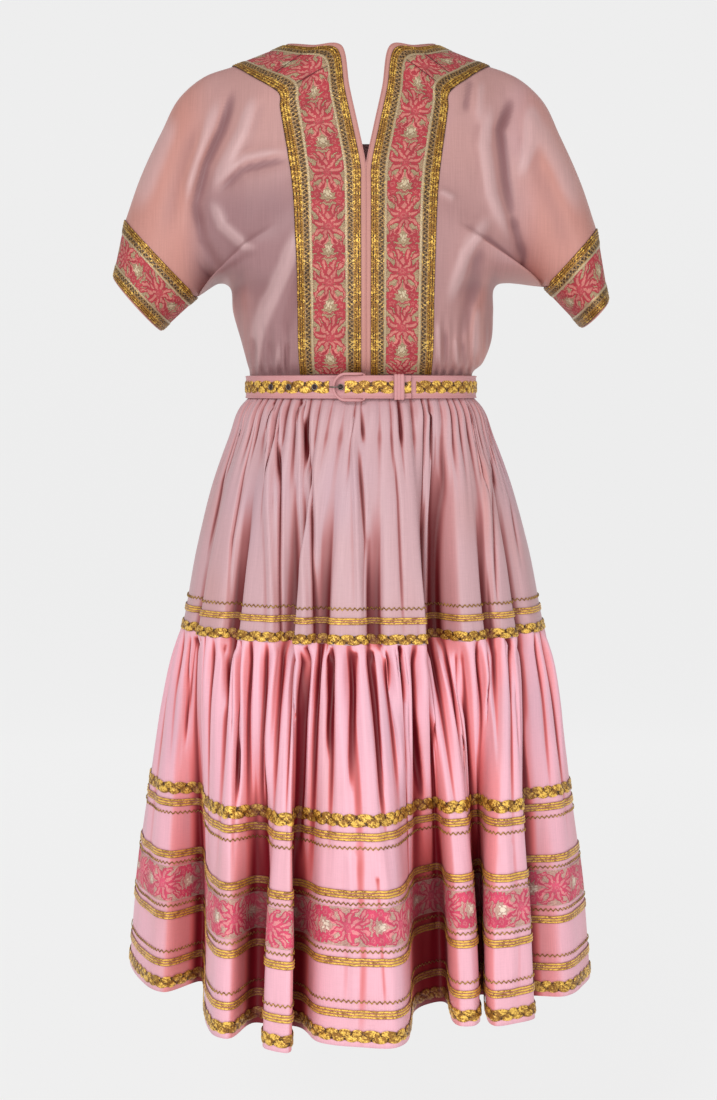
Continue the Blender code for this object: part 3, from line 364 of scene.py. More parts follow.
# Creases of the bodice, in pixels: half width, height in millimetres, then the line
BODICE_CREASES = (
    (6.0, -6.0, (237, 82), (222, 130), (205, 165), (196, 205), (201, 240)),
    (6.5, 5.5, (256, 90), (243, 130), (222, 170), (210, 200)),
    (7.0, 5.0, (222, 92), (205, 140), (190, 185), (184, 218)),
    (5.0, -5.0, (196, 200), (203, 240), (215, 262), (234, 276)),
    (6.0, 5.0, (210, 196), (222, 225), (245, 246), (264, 250)),
    (5.0, 3.5, (218, 182), (245, 158), (292, 148)),
    (5.0, -3.5, (218, 194), (242, 170), (272, 162), (296, 160)),
    (8.0, 6.0, (300, 222), (286, 265), (265, 310), (247, 358)),
    (6.5, -5.0, (306, 258), (292, 305), (276, 355)),
    (6.0, -4.5, (244, 262), (236, 300), (238, 330), (246, 362)),
    (5.0, 4.0, (226, 270), (228, 300), (238, 340)),
    (3.0, -3.0, (253, 336), (250, 374)),
    (3.0, 3.0, (261, 326), (258, 374)),
    (3.0, -3.0, (269, 338), (267, 374)),
    (3.0, 3.0, (280, 322), (277, 374)),
    (3.0, -3.0, (288, 340), (286, 374)),
    (6.0, -6.0, (516, 92), (500, 130), (506, 180), (515, 232)),
    (6.5, 5.5, (492, 98), (485, 145), (492, 195), (514, 250)),
    (5.0, -3.0, (471, 74), (464, 118)),
    (5.0, 3.0, (482, 76), (478, 128)),
    (7.0, 5.5, (532, 100), (530, 140), (520, 185)),
    (5.0, -5.0, (512, 214), (520, 246), (526, 264)),
    (7.0, 5.0, (492, 212), (466, 255), (446, 312)),
    (7.0, -5.0, (484, 236), (472, 290), (460, 352)),
    (6.0, -4.5, (497, 262), (488, 320), (490, 368)),
    (5.0, 4.0, (478, 300), (475, 366)),
    (4.0, 3.0, (438, 190), (458, 200)),
    (3.0, 3.0, (438, 318), (438, 372)),
    (3.0, -3.0, (446, 326), (447, 372)),
    (3.0, 3.0, (455, 334), (456, 372)),
    (3.0, -3.0, (464, 340), (465, 372)),
    (11.0, 4.0, (176, 108), (150, 175), (132, 222)),
    (11.0, -2.5, (200, 110), (174, 195), (160, 256)),
    (11.0, 4.0, (530, 108), (562, 170), (586, 226)),
    (11.0, -2.0, (530, 150), (556, 215), (572, 270)),
)

# A crease of this height in metres takes its full painted highlight or painted shade
CREASE_FULL = 0.0045

# On the back the creases sit some pixels lower and are softer
BACK_DROP = 6
BODICE_BACK_CREASES = 0.7

# Gathers above the belt: number in each metre across, height, where they rise and end,
# and where they start beside the bands of the fronts
FRONT_GATHERS = 115.0
BACK_GATHERS = 150.0
WAIST_GATHER_HIGH = 0.0022
GATHERS_FOOT = (-0.392, -0.372)
GATHERS_TOP = (-0.372, -0.300)
GATHERS_BESIDE = (0.070, 0.088)

# Patches of colour on the bodice: distances from the middle and heights between which they change
SEAM_NEAR = 0.004
PLACKET_WIDE = 0.006
FLANK_X = (0.105, 0.150)
FLANK_Z = (-0.25, -0.30)
FLANK_TINT = 0.75
SLEEVE_X = (0.165, 0.205)
CHEST_X = (0.30, -0.12)
CHEST_Z = (-0.12, -0.20)

# Zip tape, folded edges and mitres
ZIP_ROWS = (1, 8.9)
ZIP_COLUMNS = (0.0, 0.02, 0.05, 0.08, 0.11)
ZIP_X = (-0.009, -0.004, 0.0, 0.004, 0.009)
ZIP_BEHIND = 0.0022
EDGE_FOLD_ROWS = (0.8, 14)
EDGE_FOLD_RADIUS = 0.0008
MITRE_LIFT = 0.0024
MITRE_RADIUS = 0.00035
CUFF_FOLD_RADIUS = 0.0009
CUFF_FOLD_STEPS = 160

# Belt
BELT_Z = -0.392
BELT_HIGH = 0.025
BELT_HALF_WIDE = 0.13
BELT_HALF_DEEP = 0.0952
TAB_RISE = ((-0.045, 0.0), (-0.0245, 0.0013), (-0.004, 0.0026))
STRAP_X = (0.0055, 0.054)
BELT_BRAID_X = (0.06, -0.0345)
TAB_BRAIDS_X = ((-0.0175, 0.0345), (0.0462, 0.0535))
BELT_BRAID_HALF = 0.0072

# Buckle: bar at the right, rim at the left, how far each stands out from the belt
BAR_X = 0.003
RIM_X = -0.029
BAR_END = 0.003
RIM_RISE = 6
BAR_OUT = 0.0004
RIM_OUT = 0.0075
BUCKLE_HALF_HIGH = 0.016
BUCKLE_BEND = 0.013
FRAME_RADIUS = 0.0016

# Braid on the belt: mean radius that its steps are counted on, and how far out it lies
BELT_RADIUS = 0.113
BELT_BRAID_OUT = 0.0024
BELT_BRAID_LIFT = (0.0, 0.0011)

# Upper half of the strap's section: distance out and share of the half height; the step of its UVs
STRAP_HALF = ((0.0, 1.0), (0.0011, 1.03), (0.0026, 1.0), (0.003, 0.93), (0.0022, 0.87), (0.0022, 0.5))
STRAP_STEPS = 420
STRAP_UV_STEP = 0.003

# Keeper, eyelets and prong: distances out from the belt and sizes
KEEPER_MIDDLE = 0.0026
KEEPER_HALF_OUT = 0.0036
KEEPER_HALF_HIGH = 0.0137
KEEPER_RIDGE = 0.0008
KEEPER_RIDGES = 3
KEEPER_SQUARE = 0.35
KEEPER_UV = 0.01
EYELET_OUT = 0.0042
EYELET_RADIUS = 0.003
EYELET_RIM = 0.0006
EYELET_SUNK = 0.0002
PRONG_RADIUS = 0.0009
KEEPER_X = (0.035, 0.0455)
EYELETS_X = (-0.098, -0.0785, -0.05, -0.0215)
PRONG_ROUTE = ((-0.0208, 0.0062), (-0.0245, 0.0098), (-0.029, 0.0104), (-0.033, 0.0097))

# Parts of the neck band: distances from the neck edge; each gold edge ends at the ribbon
BAND_PARTS = {"inner": (0.0050, 0.0215), "ribbon": (0.0205, 0.0575), "outer": (0.0735, 0.0565)}
BAND_MIDDLE = 0.039
BAND_ROWS = (0.98, 14)
LEFT_PATTERN_SHIFT = 0.012

# Cuff: shares of its length where each part starts and ends, and the step round it
CUFF_PARTS = {
    "top": (0.0, 0.25, EDGE_STEP),
    "ribbon": (0.22, 0.78, 2 * EDGE_STEP),
    "low": (0.985, 0.75, EDGE_STEP),
}

# Steps that lengths along the band and round the cuff are measured with
FINE_STEPS = 400

# Back band: steps down the shoulder and across, and the rows at distances from the neck edge
NECK_DOWN = 70
NECK_ACROSS = 150
NECK_OFFSETS = (0.0, 0.005, 0.021, 0.057, 0.073, 0.08)
NECK_ROWS = (12.0, 11.0, 10.0, 9.0, 8.0, 7.6)
MITRES = {
    "left": (((11.7, 0.021), (11.86, 0.057)), ((12.8, 0.021), (12.66, 0.057))),
    "right": (((11.94, 0.021), (11.98, 0.057)), ((12.75, 0.021), (12.62, 0.057))),
}

# Brocade, in metres, mirrored about the ribbon's middle. Leaves: along, across, half length, half width,
# turn in degrees, bend, colour. Blossoms: along, across, radius, petals, colour.
# Scrolls: along, across, radius, thickness. Spots: along, across, half length, half width.
REPEAT = 0.061
LEAVES = (
    (-0.016, 0.0048, 0.008, 0.0032, 158, 60, "pale"),
    (-0.0215, 0.0085, 0.0058, 0.0024, 60, 60, "flower"),
    (0.019, 0.004, 0.0075, 0.003, 22, -60, "flower"),
    (0.0175, 0.0118, 0.006, 0.0026, 48, -60, "flower"),
    (0.0085, 0.0, 0.0078, 0.0036, 0, 0, "flower"),
    (0.0075, 0.0056, 0.0082, 0.0034, 38, 50, "flower"),
    (0.002, 0.01, 0.0084, 0.0034, 72, 40, "flower"),
    (-0.0055, 0.0092, 0.0078, 0.0031, 118, -50, "flower"),
    (-0.0085, 0.0034, 0.007, 0.0029, 155, -50, "flower"),
    (0.008, 0.016, 0.0048, 0.0018, 10, 40, "flower"),
    (-0.013, 0.0155, 0.0052, 0.0019, -12, 40, "flower"),
    (0.027, 0.003, 0.004, 0.0014, 60, 40, "flower"),
)
BLOSSOMS = (
    (-0.0255, 0.0122, 0.006, 6, "flower"),
    (0.0265, 0.0118, 0.0056, 5, "flower"),
    (0.0, 0.0, 0.0052, 7, "heart"),
)
SCROLLS = (
    (-0.02, 0.011, 0.003, 0.0012),
    (0.0225, 0.015, 0.0022, 0.001),
)
SPOTS = (
    (-0.0245, 0.0, 0.0036, 0.0015),
    (-0.0225, 0.0028, 0.0024, 0.0012),
    (-0.0276, 0.0026, 0.0018, 0.0012),
)
RIBBON_EDGE = 0.0178

# Noise: nearly all of it lies in this range, and its scales are in waves for each metre
NOISE_RANGE = (0.3, 0.7)
STREAKS = (1300.0, 22.0, 1.0)
SLUBS = (60.0, 1500.0, 1.0)
CLOUDS = (7.0, 5.0, 1.0)
GRAIN = (620.0, 9.0, 1.0)
GLINTS = (230.0, 2.5, 1.0)
SWEEPS = (38.0, 0.6, 1.0)
DRAWING = (300.0, 300.0, 1.0)
TENDRILS = (380.0, 380.0, 1.0)
SWAY = (110.0, 110.0, 1.0)
WEAVE = (1300.0, 2600.0, 1.0)
PATCHES = (60.0, 60.0, 1.0)
METAL_CLOUDS = (90.0, 90.0, 90.0)
PAPER_CLOUDS = (0.7, 0.7, 1.0)

# Looks, in linear light
# In each taffeta the crown colour is painted sheen where the cloth faces out, the flank colour painted
# shade on its sides, and half and deep painted shade in creases and valleys.
ROSE = {
    "sheen_crown": (0.565, 0.35, 0.372),
    "flank": (0.56, 0.265, 0.27),
    "half": (0.42, 0.15, 0.15),
    "deep": (0.105, 0.005, 0.007),
}
BODICE = {
    "sheen_crown": (0.495, 0.272, 0.255),
    "flank": (0.48, 0.22, 0.2),
    "half": (0.27, 0.135, 0.14),
    "deep": (0.12, 0.02, 0.018),
}
PINK = {
    "sheen_crown": (0.84, 0.45, 0.53),
    "flank": (0.83, 0.3, 0.32),
    "half": (0.72, 0.16, 0.16),
    "deep": (0.15, 0.004, 0.01),
}
PEACH = (0.52, 0.225, 0.18)
CHEST = (0.25, 0.136, 0.15)
# Painted highlight on the ridges of the bodice's creases.
RIDGE_HIGHLIGHT = (0.59, 0.395, 0.395)
LILAC = (0.5, 0.35, 0.42)
# Gold thread: the brightest colour is painted highlight and glint, the darkest painted shade between the
# cords.
GOLD_HIGHLIGHT = (0.98, 0.61, 0.11)
GOLD_MID = (0.3, 0.132, 0.015)
GOLD_GAP_SHADE = (0.028, 0.01, 0.005)
CREAM = (0.5, 0.38, 0.23)
CORAL_SHADES = {
    "flower": (0.405, 0.038, 0.052),
    "heart": (0.44, 0.056, 0.07),
    "pale": (0.6, 0.2, 0.168),
    "ground": (0.47, 0.35, 0.205),
    "spot": (0.59, 0.47, 0.31),
}
PINK_SHADES = {
    "flower": (0.69, 0.07, 0.145),
    "heart": (0.74, 0.105, 0.185),
    "pale": (0.83, 0.29, 0.305),
    "ground": (0.76, 0.5, 0.4),
    "spot": (0.88, 0.72, 0.58),
}
SHADE = (0.11, 0.008, 0.012)
BACKDROP = (0.12, 0.12, 0.12)

# Studio: name, place, power, size, height aimed at on the dress's axis
LIGHTS = (
    ("key", (-1.3, -3.0, 0.9), 44.0, 1.0, -0.5),
    ("fill", (2.2, -2.8, 0.0), 24.0, 2.0, -0.5),
    ("front", (-0.5, -3.6, 0.0), 26.0, 0.8, -0.6),
)
WORLD_LIGHT = 0.42
BACK_GLOW = 0.76
FLOOR_Z = -1.33
BACK_Y = 4.6
COVE = 1.8
FLOOR_HALF = 6.0
BACKDROP_TOP = 4.0
PAPER_VARY = 0.02
PLAIN_VARY = 0.15


# Numbers and grids


def unit(vectors):
    size = np.linalg.norm(vectors, axis=-1, keepdims=True)
    return vectors / np.where(size > 0, size, 1)


def smooth(at, keys, values):
    """A smooth curve through the rows of a table."""
    at = np.asarray(at, float)
    keys = np.asarray(keys, float)
    values = np.asarray(values, float)
    order = np.argsort(keys)
    keys, values = keys[order], values[order]
    slopes = np.gradient(values, keys, axis=0)
    row = np.clip(np.searchsorted(keys, at) - 1, 0, len(keys) - 2)
    span = keys[row + 1] - keys[row]
    part = np.clip((at - keys[row]) / span, 0.0, 1.0)
    if values.ndim > 1:
        extra = (...,) + (None,) * (values.ndim - 1)
        part, span = part[extra], span[extra]
    rise = values[row + 1] - values[row]
    ease = part * part * (3 - 2 * part)
    start = part * (1 - part) ** 2 * span * slopes[row]
    end = part * part * (1 - part) * span * slopes[row + 1]
    return values[row] + ease * rise + start - end


def eased(low, high, value):
    part = np.clip((value - low) / (high - low), 0, 1)
    return part * part * (3 - 2 * part)


def scatter(count, seed):
    """Even but irregular numbers from -1 to 1, always the same for a seed."""
    return np.random.default_rng(seed).uniform(-1, 1, count)


def wander(place, beats, seed):
    """A smooth irregular curve from -1 to 1 round a closed line."""
    turns = scatter(beats, seed) * math.pi
    sizes = scatter(beats, seed + 1)
    waves = []
    for beat, (turn, size) in enumerate(zip(turns, sizes), 1):
        waves.append(size * np.sin(TURN * beat * place + turn))
    return np.sum(waves, axis=0) / math.sqrt(beats)


def lengths_along(line):
    """How far along a line each of its points lies."""
    return np.concatenate([[0], np.cumsum(np.linalg.norm(np.diff(line, axis=0), axis=1))])


def paired(first, second):
    """Two sets of numbers spread over one grid, as pairs."""
    return np.stack(np.broadcast_arrays(first, second), axis=-1)


def part_way(start, end, share):
    return start + (end - start) * share


def steps(points, axis):
    """Steps between neighbours along an axis, one-sided beside a missing point."""
    pad = [(0, 0)] * 3
    pad[axis] = (1, 1)
    wide = np.pad(points, pad, constant_values=np.nan)
    count = points.shape[axis]
    before = np.take(wide, np.arange(count), axis)
    after = np.take(wide, np.arange(2, count + 2), axis)
    before = np.where(np.isnan(before), points, before)
    after = np.where(np.isnan(after), points, after)
    return np.nan_to_num(after - before)


def sheet_normals(points, closed=False):
    """Normals of a grid: rows down and columns anticlockwise point outward."""
    if closed:
        wide = np.concatenate([points[:, -1:], points, points[:, :1]], axis=1)
        along = steps(wide, 1)[:, 1:-1]
    else:
        along = steps(points, 1)
    return unit(np.cross(steps(points, 0), along))


def pixels(points):
    """Where the camera sees each point, in pixels of the picture."""
    scale = CAMERA_FAR / (CAMERA_FAR + points[..., 1]) / PIXEL
    across = EYE_PIXEL[0] + points[..., 0] * scale
    down = EYE_PIXEL[1] - (points[..., 2] - CAMERA_Z) * scale
    return np.stack([across, down], axis=-1)


def crease_height(spots, table, fade_top):
    """Height in metres of the creases at places in pixels: soft ridges and valleys along lines."""
    total = np.zeros(spots.shape[:-1])
    for half, height, *line in table:
        line = np.array(line, float)
        lengths = np.linalg.norm(np.diff(line, axis=0), axis=1)
        whole = lengths.sum()
        nearest = np.full(total.shape, 1e9)
        place = np.zeros(total.shape)
        gone = 0.0
        for start, end, length in zip(line[:-1], line[1:], lengths):
            run = (end - start) / length
            along = np.clip((spots - start) @ run, 0, length)
            away = np.linalg.norm(spots - start - along[..., None] * run, axis=-1)
            closer = away < nearest
            nearest = np.where(closer, away, nearest)
            place = np.where(closer, (gone + along) / whole, place)
            gone += length
        fade = eased(0, CREASE_FOOT, 1 + CREASE_END - place)
        if fade_top or FADE_IN[0] < line[0, 1] < FADE_IN[1]:
            fade = fade * eased(0, CREASE_HEAD, place + CREASE_END)
        total += height / 1000 * fade * np.exp(-((nearest / half) ** 2))
    return total


def blurred(values, sigma, closed):
    """Values drawn out along columns and rows by a soft kernel, sigma in steps of the grid."""
    result = values
    for axis, size in ((1, sigma[1]), (0, sigma[0])):
        reach = max(1, int(size * KERNEL_REACH))
        kernel = np.exp(-0.5 * (np.arange(-reach, reach + 1) / size) ** 2)
        kernel /= kernel.sum()
        wrap = "wrap" if closed and axis == 1 else "edge"
        pad = [(0, 0)] * result.ndim
        pad[axis] = (reach, reach)
        wide = np.pad(result, pad, mode=wrap)
        count = result.shape[axis]
        shifted = (np.take(wide, np.arange(start, start + count), axis) for start in range(len(kernel)))
        result = sum(weight * each for weight, each in zip(kernel, shifted))
    return result


def hollows(points, normals, sigma, closed, depth):
    """How deep each point lies in a valley, from 0 to 1."""
    around = blurred(points, sigma, closed)
    sunk = ((around - points) * normals).sum(-1)
    return 1 - np.exp(-np.clip(sunk, 0, None) / depth)


# Meshes


def grid_quads(numbers, closed=False):
    if closed:
        numbers = np.hstack([numbers, numbers[:, :1]])
    quads = np.stack([numbers[:-1, :-1], numbers[1:, :-1], numbers[1:, 1:], numbers[:-1, 1:]], axis=-1)
    quads = quads.reshape(-1, 4)
    return quads[quads.min(axis=1) >= 0]


def add_mesh(name, points, quads, look, uv=None, **values):
    """A piece of the dress from points and four-sided faces, with its UVs and values by point."""
    used, quads = np.unique(quads, return_inverse=True)
    quads = quads.reshape(-1, 4).astype(np.int32)
    mesh = bpy.data.meshes.new(name)
    mesh.vertices.add(len(used))
    mesh.vertices.foreach_set("co", points[used].astype(np.float32).ravel())
    mesh.loops.add(quads.size)
    mesh.loops.foreach_set("vertex_index", quads.ravel())
    mesh.polygons.add(len(quads))
    mesh.polygons.foreach_set("loop_start", np.arange(0, quads.size, 4, dtype=np.int32))
    mesh.update(calc_edges=True)
    mesh.shade_smooth()
    if uv is not None:
        layer = mesh.uv_layers.new(name="cloth")
        layer.data.foreach_set("uv", uv[used][quads.ravel()].astype(np.float32).ravel())
    for key, value in values.items():
        made = mesh.attributes.new(key, "FLOAT", "POINT")
        made.data.foreach_set("value", np.broadcast_to(value, len(points))[used].astype(np.float32))
    mesh.materials.append(look)
    made = bpy.data.objects.new(name, mesh)
    bpy.context.scene.collection.objects.link(made)
    return made


def add_grid(name, points, look, closed=False, uv=None, **values):
    """A piece from one grid of points; a point that is missing leaves a hole."""
    numbers = np.arange(points.shape[0] * points.shape[1]).reshape(points.shape[:2])
    numbers = np.where(np.isnan(points[..., 0]), -1, numbers)
    flat = np.nan_to_num(points).reshape(-1, 3)
    flat_uv = None if uv is None else uv.reshape(-1, 2)
    flat_values = {key: np.nan_to_num(value).reshape(-1) for key, value in values.items()}
    return add_mesh(name, flat, grid_quads(numbers, closed), look, flat_uv, **flat_values)


def add_pipe(name, line, radius, look, sides=6, closed=False, out=(0.0, -1.0, 0.0)):
    """A round cord along a line."""
    line = np.asarray(line, float)
    if closed:
        run = unit(np.roll(line, -1, axis=0) - np.roll(line, 1, axis=0))
    else:
        run = unit(np.gradient(line, axis=0))
    out = np.broadcast_to(np.asarray(out, float), line.shape)
    up = unit(out - run * (out * run).sum(-1, keepdims=True))
    side = np.cross(run, up)
    turn = np.arange(sides) / sides * TURN
    ring = up[:, None] * (np.cos(turn) * radius)[None, :, None]
    ring = line[:, None] + ring + side[:, None] * (np.sin(turn) * radius)[None, :, None]
    if closed:
        ring = np.concatenate([ring, ring[:1]])
    along = lengths_along(ring[:, 0])
    uv = paired(along[:, None], (np.arange(sides) / sides)[None, :])
    return add_grid(name, ring, look, closed=True, uv=uv)


def joined(name, parts):
    """Several pieces made one."""
    with bpy.context.temp_override(active_object=parts[0], selected_editable_objects=parts):
        bpy.ops.object.join()
    parts[0].name = name
    return parts[0]


# Skirt


def fold_stations(folds):
    """Turning points of a folded edge: angle in degrees and share of the plain outline."""
    stations = []
    for ridge, half, left, right, valley, valley_half, share in folds:
        stations.append((ridge - half, left))
        stations.append((ridge, (left + right) / 2 * CROWN))
        stations.append((ridge + half, right))
        stations.append((valley - valley_half, share))
        stations.append((valley + valley_half, share))
    return np.array(stations)


def closed_spline(points, count):
    """Points along a smooth closed curve, with the given steps between two stations."""
    before, after, beyond = (np.roll(points, shift, axis=0) for shift in (1, -1, -2))
    part = (np.arange(count) / count)[None, :, None]
    p0, p1, p2, p3 = (each[:, None, :] for each in (before, points, after, beyond))
    reach = np.linalg.norm(p2 - p1, axis=2, keepdims=True)
    near = np.linalg.norm(p1 - p0, axis=2, keepdims=True)
    far = np.linalg.norm(p3 - p2, axis=2, keepdims=True)
    start = reach * ((p1 - p0) / near + (p2 - p1) / reach) / 2
    end = reach * ((p2 - p1) / reach + (p3 - p2) / far) / 2
    ease = part * part * (3 - 2 * part)
    curve = p1 + ease * (p2 - p1) + part * (1 - part) ** 2 * start - part * part * (1 - part) * end
    return curve.reshape(-1, 2)


def outline(z):
    rows = np.array(SKIRT_SIZE)
    return smooth(z, rows[:, 0], rows[:, 1:])


def folded_ring(folds, quarters, height):
    """The folded edge as shares of the outline, at even steps of cloth within each quarter."""
    size = outline(height)
    stations = fold_stations(folds)
    angle = np.radians(stations[:, 0])
    spots = np.stack([np.sin(angle), -np.cos(angle)], axis=1) * stations[:, 1:]
    curve = closed_spline(spots * size, FOLD_STEPS)
    starts = [(STATIONS_A_FOLD * row + 1) * FOLD_STEPS for row in quarters]
    ends = starts[1:] + [starts[0] + len(curve)]
    share = COLUMNS // len(starts)
    ring = []
    for start, end in zip(starts, ends):
        stretch = np.take(curve, np.arange(start, end + 1), axis=0, mode="wrap")
        along = lengths_along(stretch)
        stops = np.arange(share) / share * along[-1]
        ring.append(np.stack([np.interp(stops, along, stretch[:, axis]) for axis in (0, 1)], axis=1))
    return np.concatenate(ring) / size


def plain_ring():
    angle = -math.pi / 2 + np.arange(COLUMNS) / COLUMNS * TURN
    return np.stack([np.sin(angle), -np.cos(angle)], axis=1)


def gather_field(rows, gathers, seed):
    """Height of the gathers: round ridges and narrow valleys, each running down its own way."""
    count, jitter, swell, short, long, calms = gathers
    place = np.arange(COLUMNS) / COLUMNS
    centres = (np.arange(count) + jitter * scatter(count, seed)) / count
    wide_centres = np.concatenate([centres - 1, centres, centres + 1])
    wide_numbers = np.arange(-count, 2 * count)
    keys, heights = zip(*swell)
    sizes = GATHER_SIZE + GATHER_SPREAD * scatter(count, seed + 1)
    runs = short + (long - short) * (0.5 + 0.5 * scatter(count, seed + 2))
    drift = GATHER_DRIFT * wander(place, DRIFT_BEATS, seed + 3)
    quiet = np.ones(COLUMNS)
    for middle, half, share in calms:
        quiet -= share * np.exp(-(((np.mod(place, 0.5) - middle) / half) ** 4))
    field = []
    for row in rows:
        number = np.interp(place + drift * row, wide_centres, wide_numbers)
        beside = np.mod(np.round(number).astype(int), count)
        after = np.mod(beside + np.where(number > np.round(number), 1, -1), count)
        share = np.abs(number - np.round(number))
        size = sizes[beside] * (1 - share) + sizes[after] * share
        run = runs[beside] * (1 - share) + runs[after] * share
        ridge = 1 - 2 * np.abs(np.sin(math.pi * number)) ** VALLEY_POWER
        fade = 1 - GATHER_FADE * eased(FADE_START, 1.0, row / run)
        field.append(ridge * size * smooth(row, keys, heights) * fade * quiet)
    return np.array(field)


def facing_out(grid, normals):
    """How squarely each point of the skirt faces away from its middle, from 0 to 1."""
    radial = unit(grid * (1, 1, 0))
    return np.clip((normals * radial).sum(-1), 0, 1)


def tier(rings, ends, rows, gathers, seed):
    """A tier's fine grid and its rows' shares: the upper edge's shape blends into the lower edge's."""
    heights = np.linspace(0, 1, rows + 1) ** ROW_POWER
    grid = []
    for row in heights:
        z = part_way(*ends, row)
        folded = 1 - (1 - row) ** FOLD_POWER
        ring = (rings[0] * (1 - folded) + rings[1] * folded) * outline(z)
        grid.append(np.column_stack([ring, np.full(COLUMNS, z)]))
    grid = np.array(grid)
    settled = blurred(grid, SETTLE_REACH, True)
    share = (eased(*SETTLE_FROM, heights) * (1 - eased(*SETTLE_TO, heights)))[:, None, None]
    grid = grid * (1 - share) + settled * share
    normals = flat_normals(grid)
    facing = facing_out(grid, normals) ** FLANK_POWER
    return grid + normals * (gather_field(heights, gathers, seed) * facing)[..., None], heights


def flat_normals(grid):
    """Outward normals that keep level."""
    along = np.roll(grid, -1, axis=1) - np.roll(grid, 1, axis=1)
    return unit(np.stack([along[..., 1], -along[..., 0], np.zeros(grid.shape[:2])], axis=-1))


def creased(grid, table):
    """Adds the creases on the front, and the same table turned round and softer on the back."""
    normals = flat_normals(grid)
    facing = facing_out(grid, normals) ** FLANK_POWER
    at_front = 1 - eased(*FRONT_TO_BACK, grid[..., 1])
    behind = pixels(grid * (1, -1, 1)) * (-1, 1) + (2 * EYE_PIXEL[0] + BACK_SHIFT, 0)
    height = crease_height(pixels(grid), table, False) * at_front
    height = height + crease_height(behind, table, False) * (1 - at_front) * BACK_CREASES
    toward = eased(*CREASED_FACING, np.abs(normals[..., 1]))
    return grid + normals * (height * facing * toward)[..., None]


class Cloth:
    """A fine grid of cloth that trims can be laid on."""

    def __init__(self, points, rows, columns, closed=False, normals=None, shade=None):
        self.points = points
        self.shade = np.zeros(points.shape[:2]) if shade is None else shade
        self.rows = np.asarray(rows, float)
        self.columns = np.asarray(columns, float)
        self.closed = closed
        self.normals = sheet_normals(points, closed) if normals is None else normals

    def along(self, rows, columns):
        """Points, normals and shade at places that pair rows with columns."""
        low, row_part = between(self.rows, np.asarray(rows, float), False)
        left, column_part = between(self.columns, np.asarray(columns, float), self.closed)
        right = (left + 1) % len(self.columns)
        row_part, column_part = row_part[..., None], column_part[..., None]
        found = []
        for grid in (self.points, self.normals, self.shade[..., None]):
            upper = grid[low, left] * (1 - column_part) + grid[low, right] * column_part
            lower = grid[low + 1, left] * (1 - column_part) + grid[low + 1, right] * column_part
            found.append(upper * (1 - row_part) + lower * row_part)
        return found[0], unit(found[1]), found[2][..., 0]

    def at(self, rows, columns):
        """Points, normals and shade at every row and column given, as a grid."""
        return self.along(np.asarray(rows, float)[:, None], np.asarray(columns, float)[None, :])


def between(keys, places, closed):
    """Number of the key before each place, and the share of the way to the next."""
    if closed:
        count = len(keys)
        scaled = np.mod(places, 1.0) * count
        low = np.floor(scaled).astype(int) % count
        return low, scaled - np.floor(scaled)
    low = np.clip(np.searchsorted(keys, places, side="right") - 1, 0, len(keys) - 2)
    return low, np.clip((places - keys[low]) / (keys[low + 1] - keys[low]), 0, 1)


def add_tier(name, grid, look, hem):
    """Front and back of a tier, with the turned hem on the lower one, and its shade."""
    normals = sheet_normals(grid, True)
    # How squarely the cloth faces out, for painted sheen, and how deep it lies in small and wide
    # valleys, for painted shade.
    sheen_crown = facing_out(grid, normals)
    near = hollows(grid, normals, *GATHER_HOLLOW)
    far = hollows(grid, normals, *(HEM_HOLLOW if hem else FOLD_HOLLOW))
    shade = 1 - (1 - GATHER_SHADE * near) * (1 - far)
    across = lengths_along(np.concatenate([grid[-1], grid[-1, :1]]))[:-1]
    uv = paired(across[None, :], grid[..., 2])
    if hem:
        inner = grid[-1] - normals[-1] * HEM_TURN - (0, 0, HEM_DROP)
        fold = grid[-4] - normals[-4] * HEM_FOLD
        grid = np.concatenate([grid, inner[None], fold[None]])
        near, far, sheen_crown, uv = (np.concatenate([each, each[-2:]]) for each in (near, far, sheen_crown, uv))
    half = COLUMNS // 2
    made = []
    ahead = np.arange(half + 1)
    for side, columns in (("front", ahead), ("back", (ahead + half) % COLUMNS)):
        points, own_uv, *shades = (each[:, columns] for each in (grid, uv, near, far, sheen_crown))
        values = dict(zip(("near", "far", "sheen_crown"), shades))
        made.append(add_grid(f"{name}_{side}_cloth", points, look, uv=own_uv, **values))
    return made, shade


# Trims


def round_lengths(cloth, row, count):
    """Even columns once round a closed cloth at a row, and how far along each lies."""
    columns = np.arange(count + 1) / count
    line = cloth.at([row], columns[:-1])[0][0]
    return columns, lengths_along(np.concatenate([line, line[:1]]))


def ring_lengths(cloth, row, count):
    """Columns at even steps of length round the skirt, the first again at the end, and the lengths."""
    fine_columns, fine_along = round_lengths(cloth, row, COLUMNS)
    along = np.arange(count) / count * fine_along[-1]
    columns = np.interp(along, fine_along, fine_columns)
    return np.append(columns, columns[0] + 1), np.append(along, fine_along[-1])


def cords(across, along, count, twist):
    """Height from 0 to 1 of side-by-side twisted cords."""
    number = across * count
    ridge = np.abs(np.sin(math.pi * number)) ** 1.1
    strands = np.sin(TURN * (along / twist + number * CORD_LEAN))
    return ridge * (1 - STRAND_HIGH + STRAND_HIGH * strands)


def lace(across, along, wave):
    """Height from 0 to 1 of a zigzag of thread with gaps beside it."""
    centre = 0.5 + ZIGZAG_HALF * (2 * np.abs(2 * np.mod(along / wave, 1) - 1) - 1)
    zigzag = np.exp(-(((across - centre) / ZIGZAG_THICK) ** 2))
    edge = sum(np.exp(-(((across - place) / LACE_EDGE_THICK) ** 2)) for place in LACE_EDGES)
    return np.clip(np.maximum(zigzag, LACE_EDGE_HIGH * edge), 0, 1)


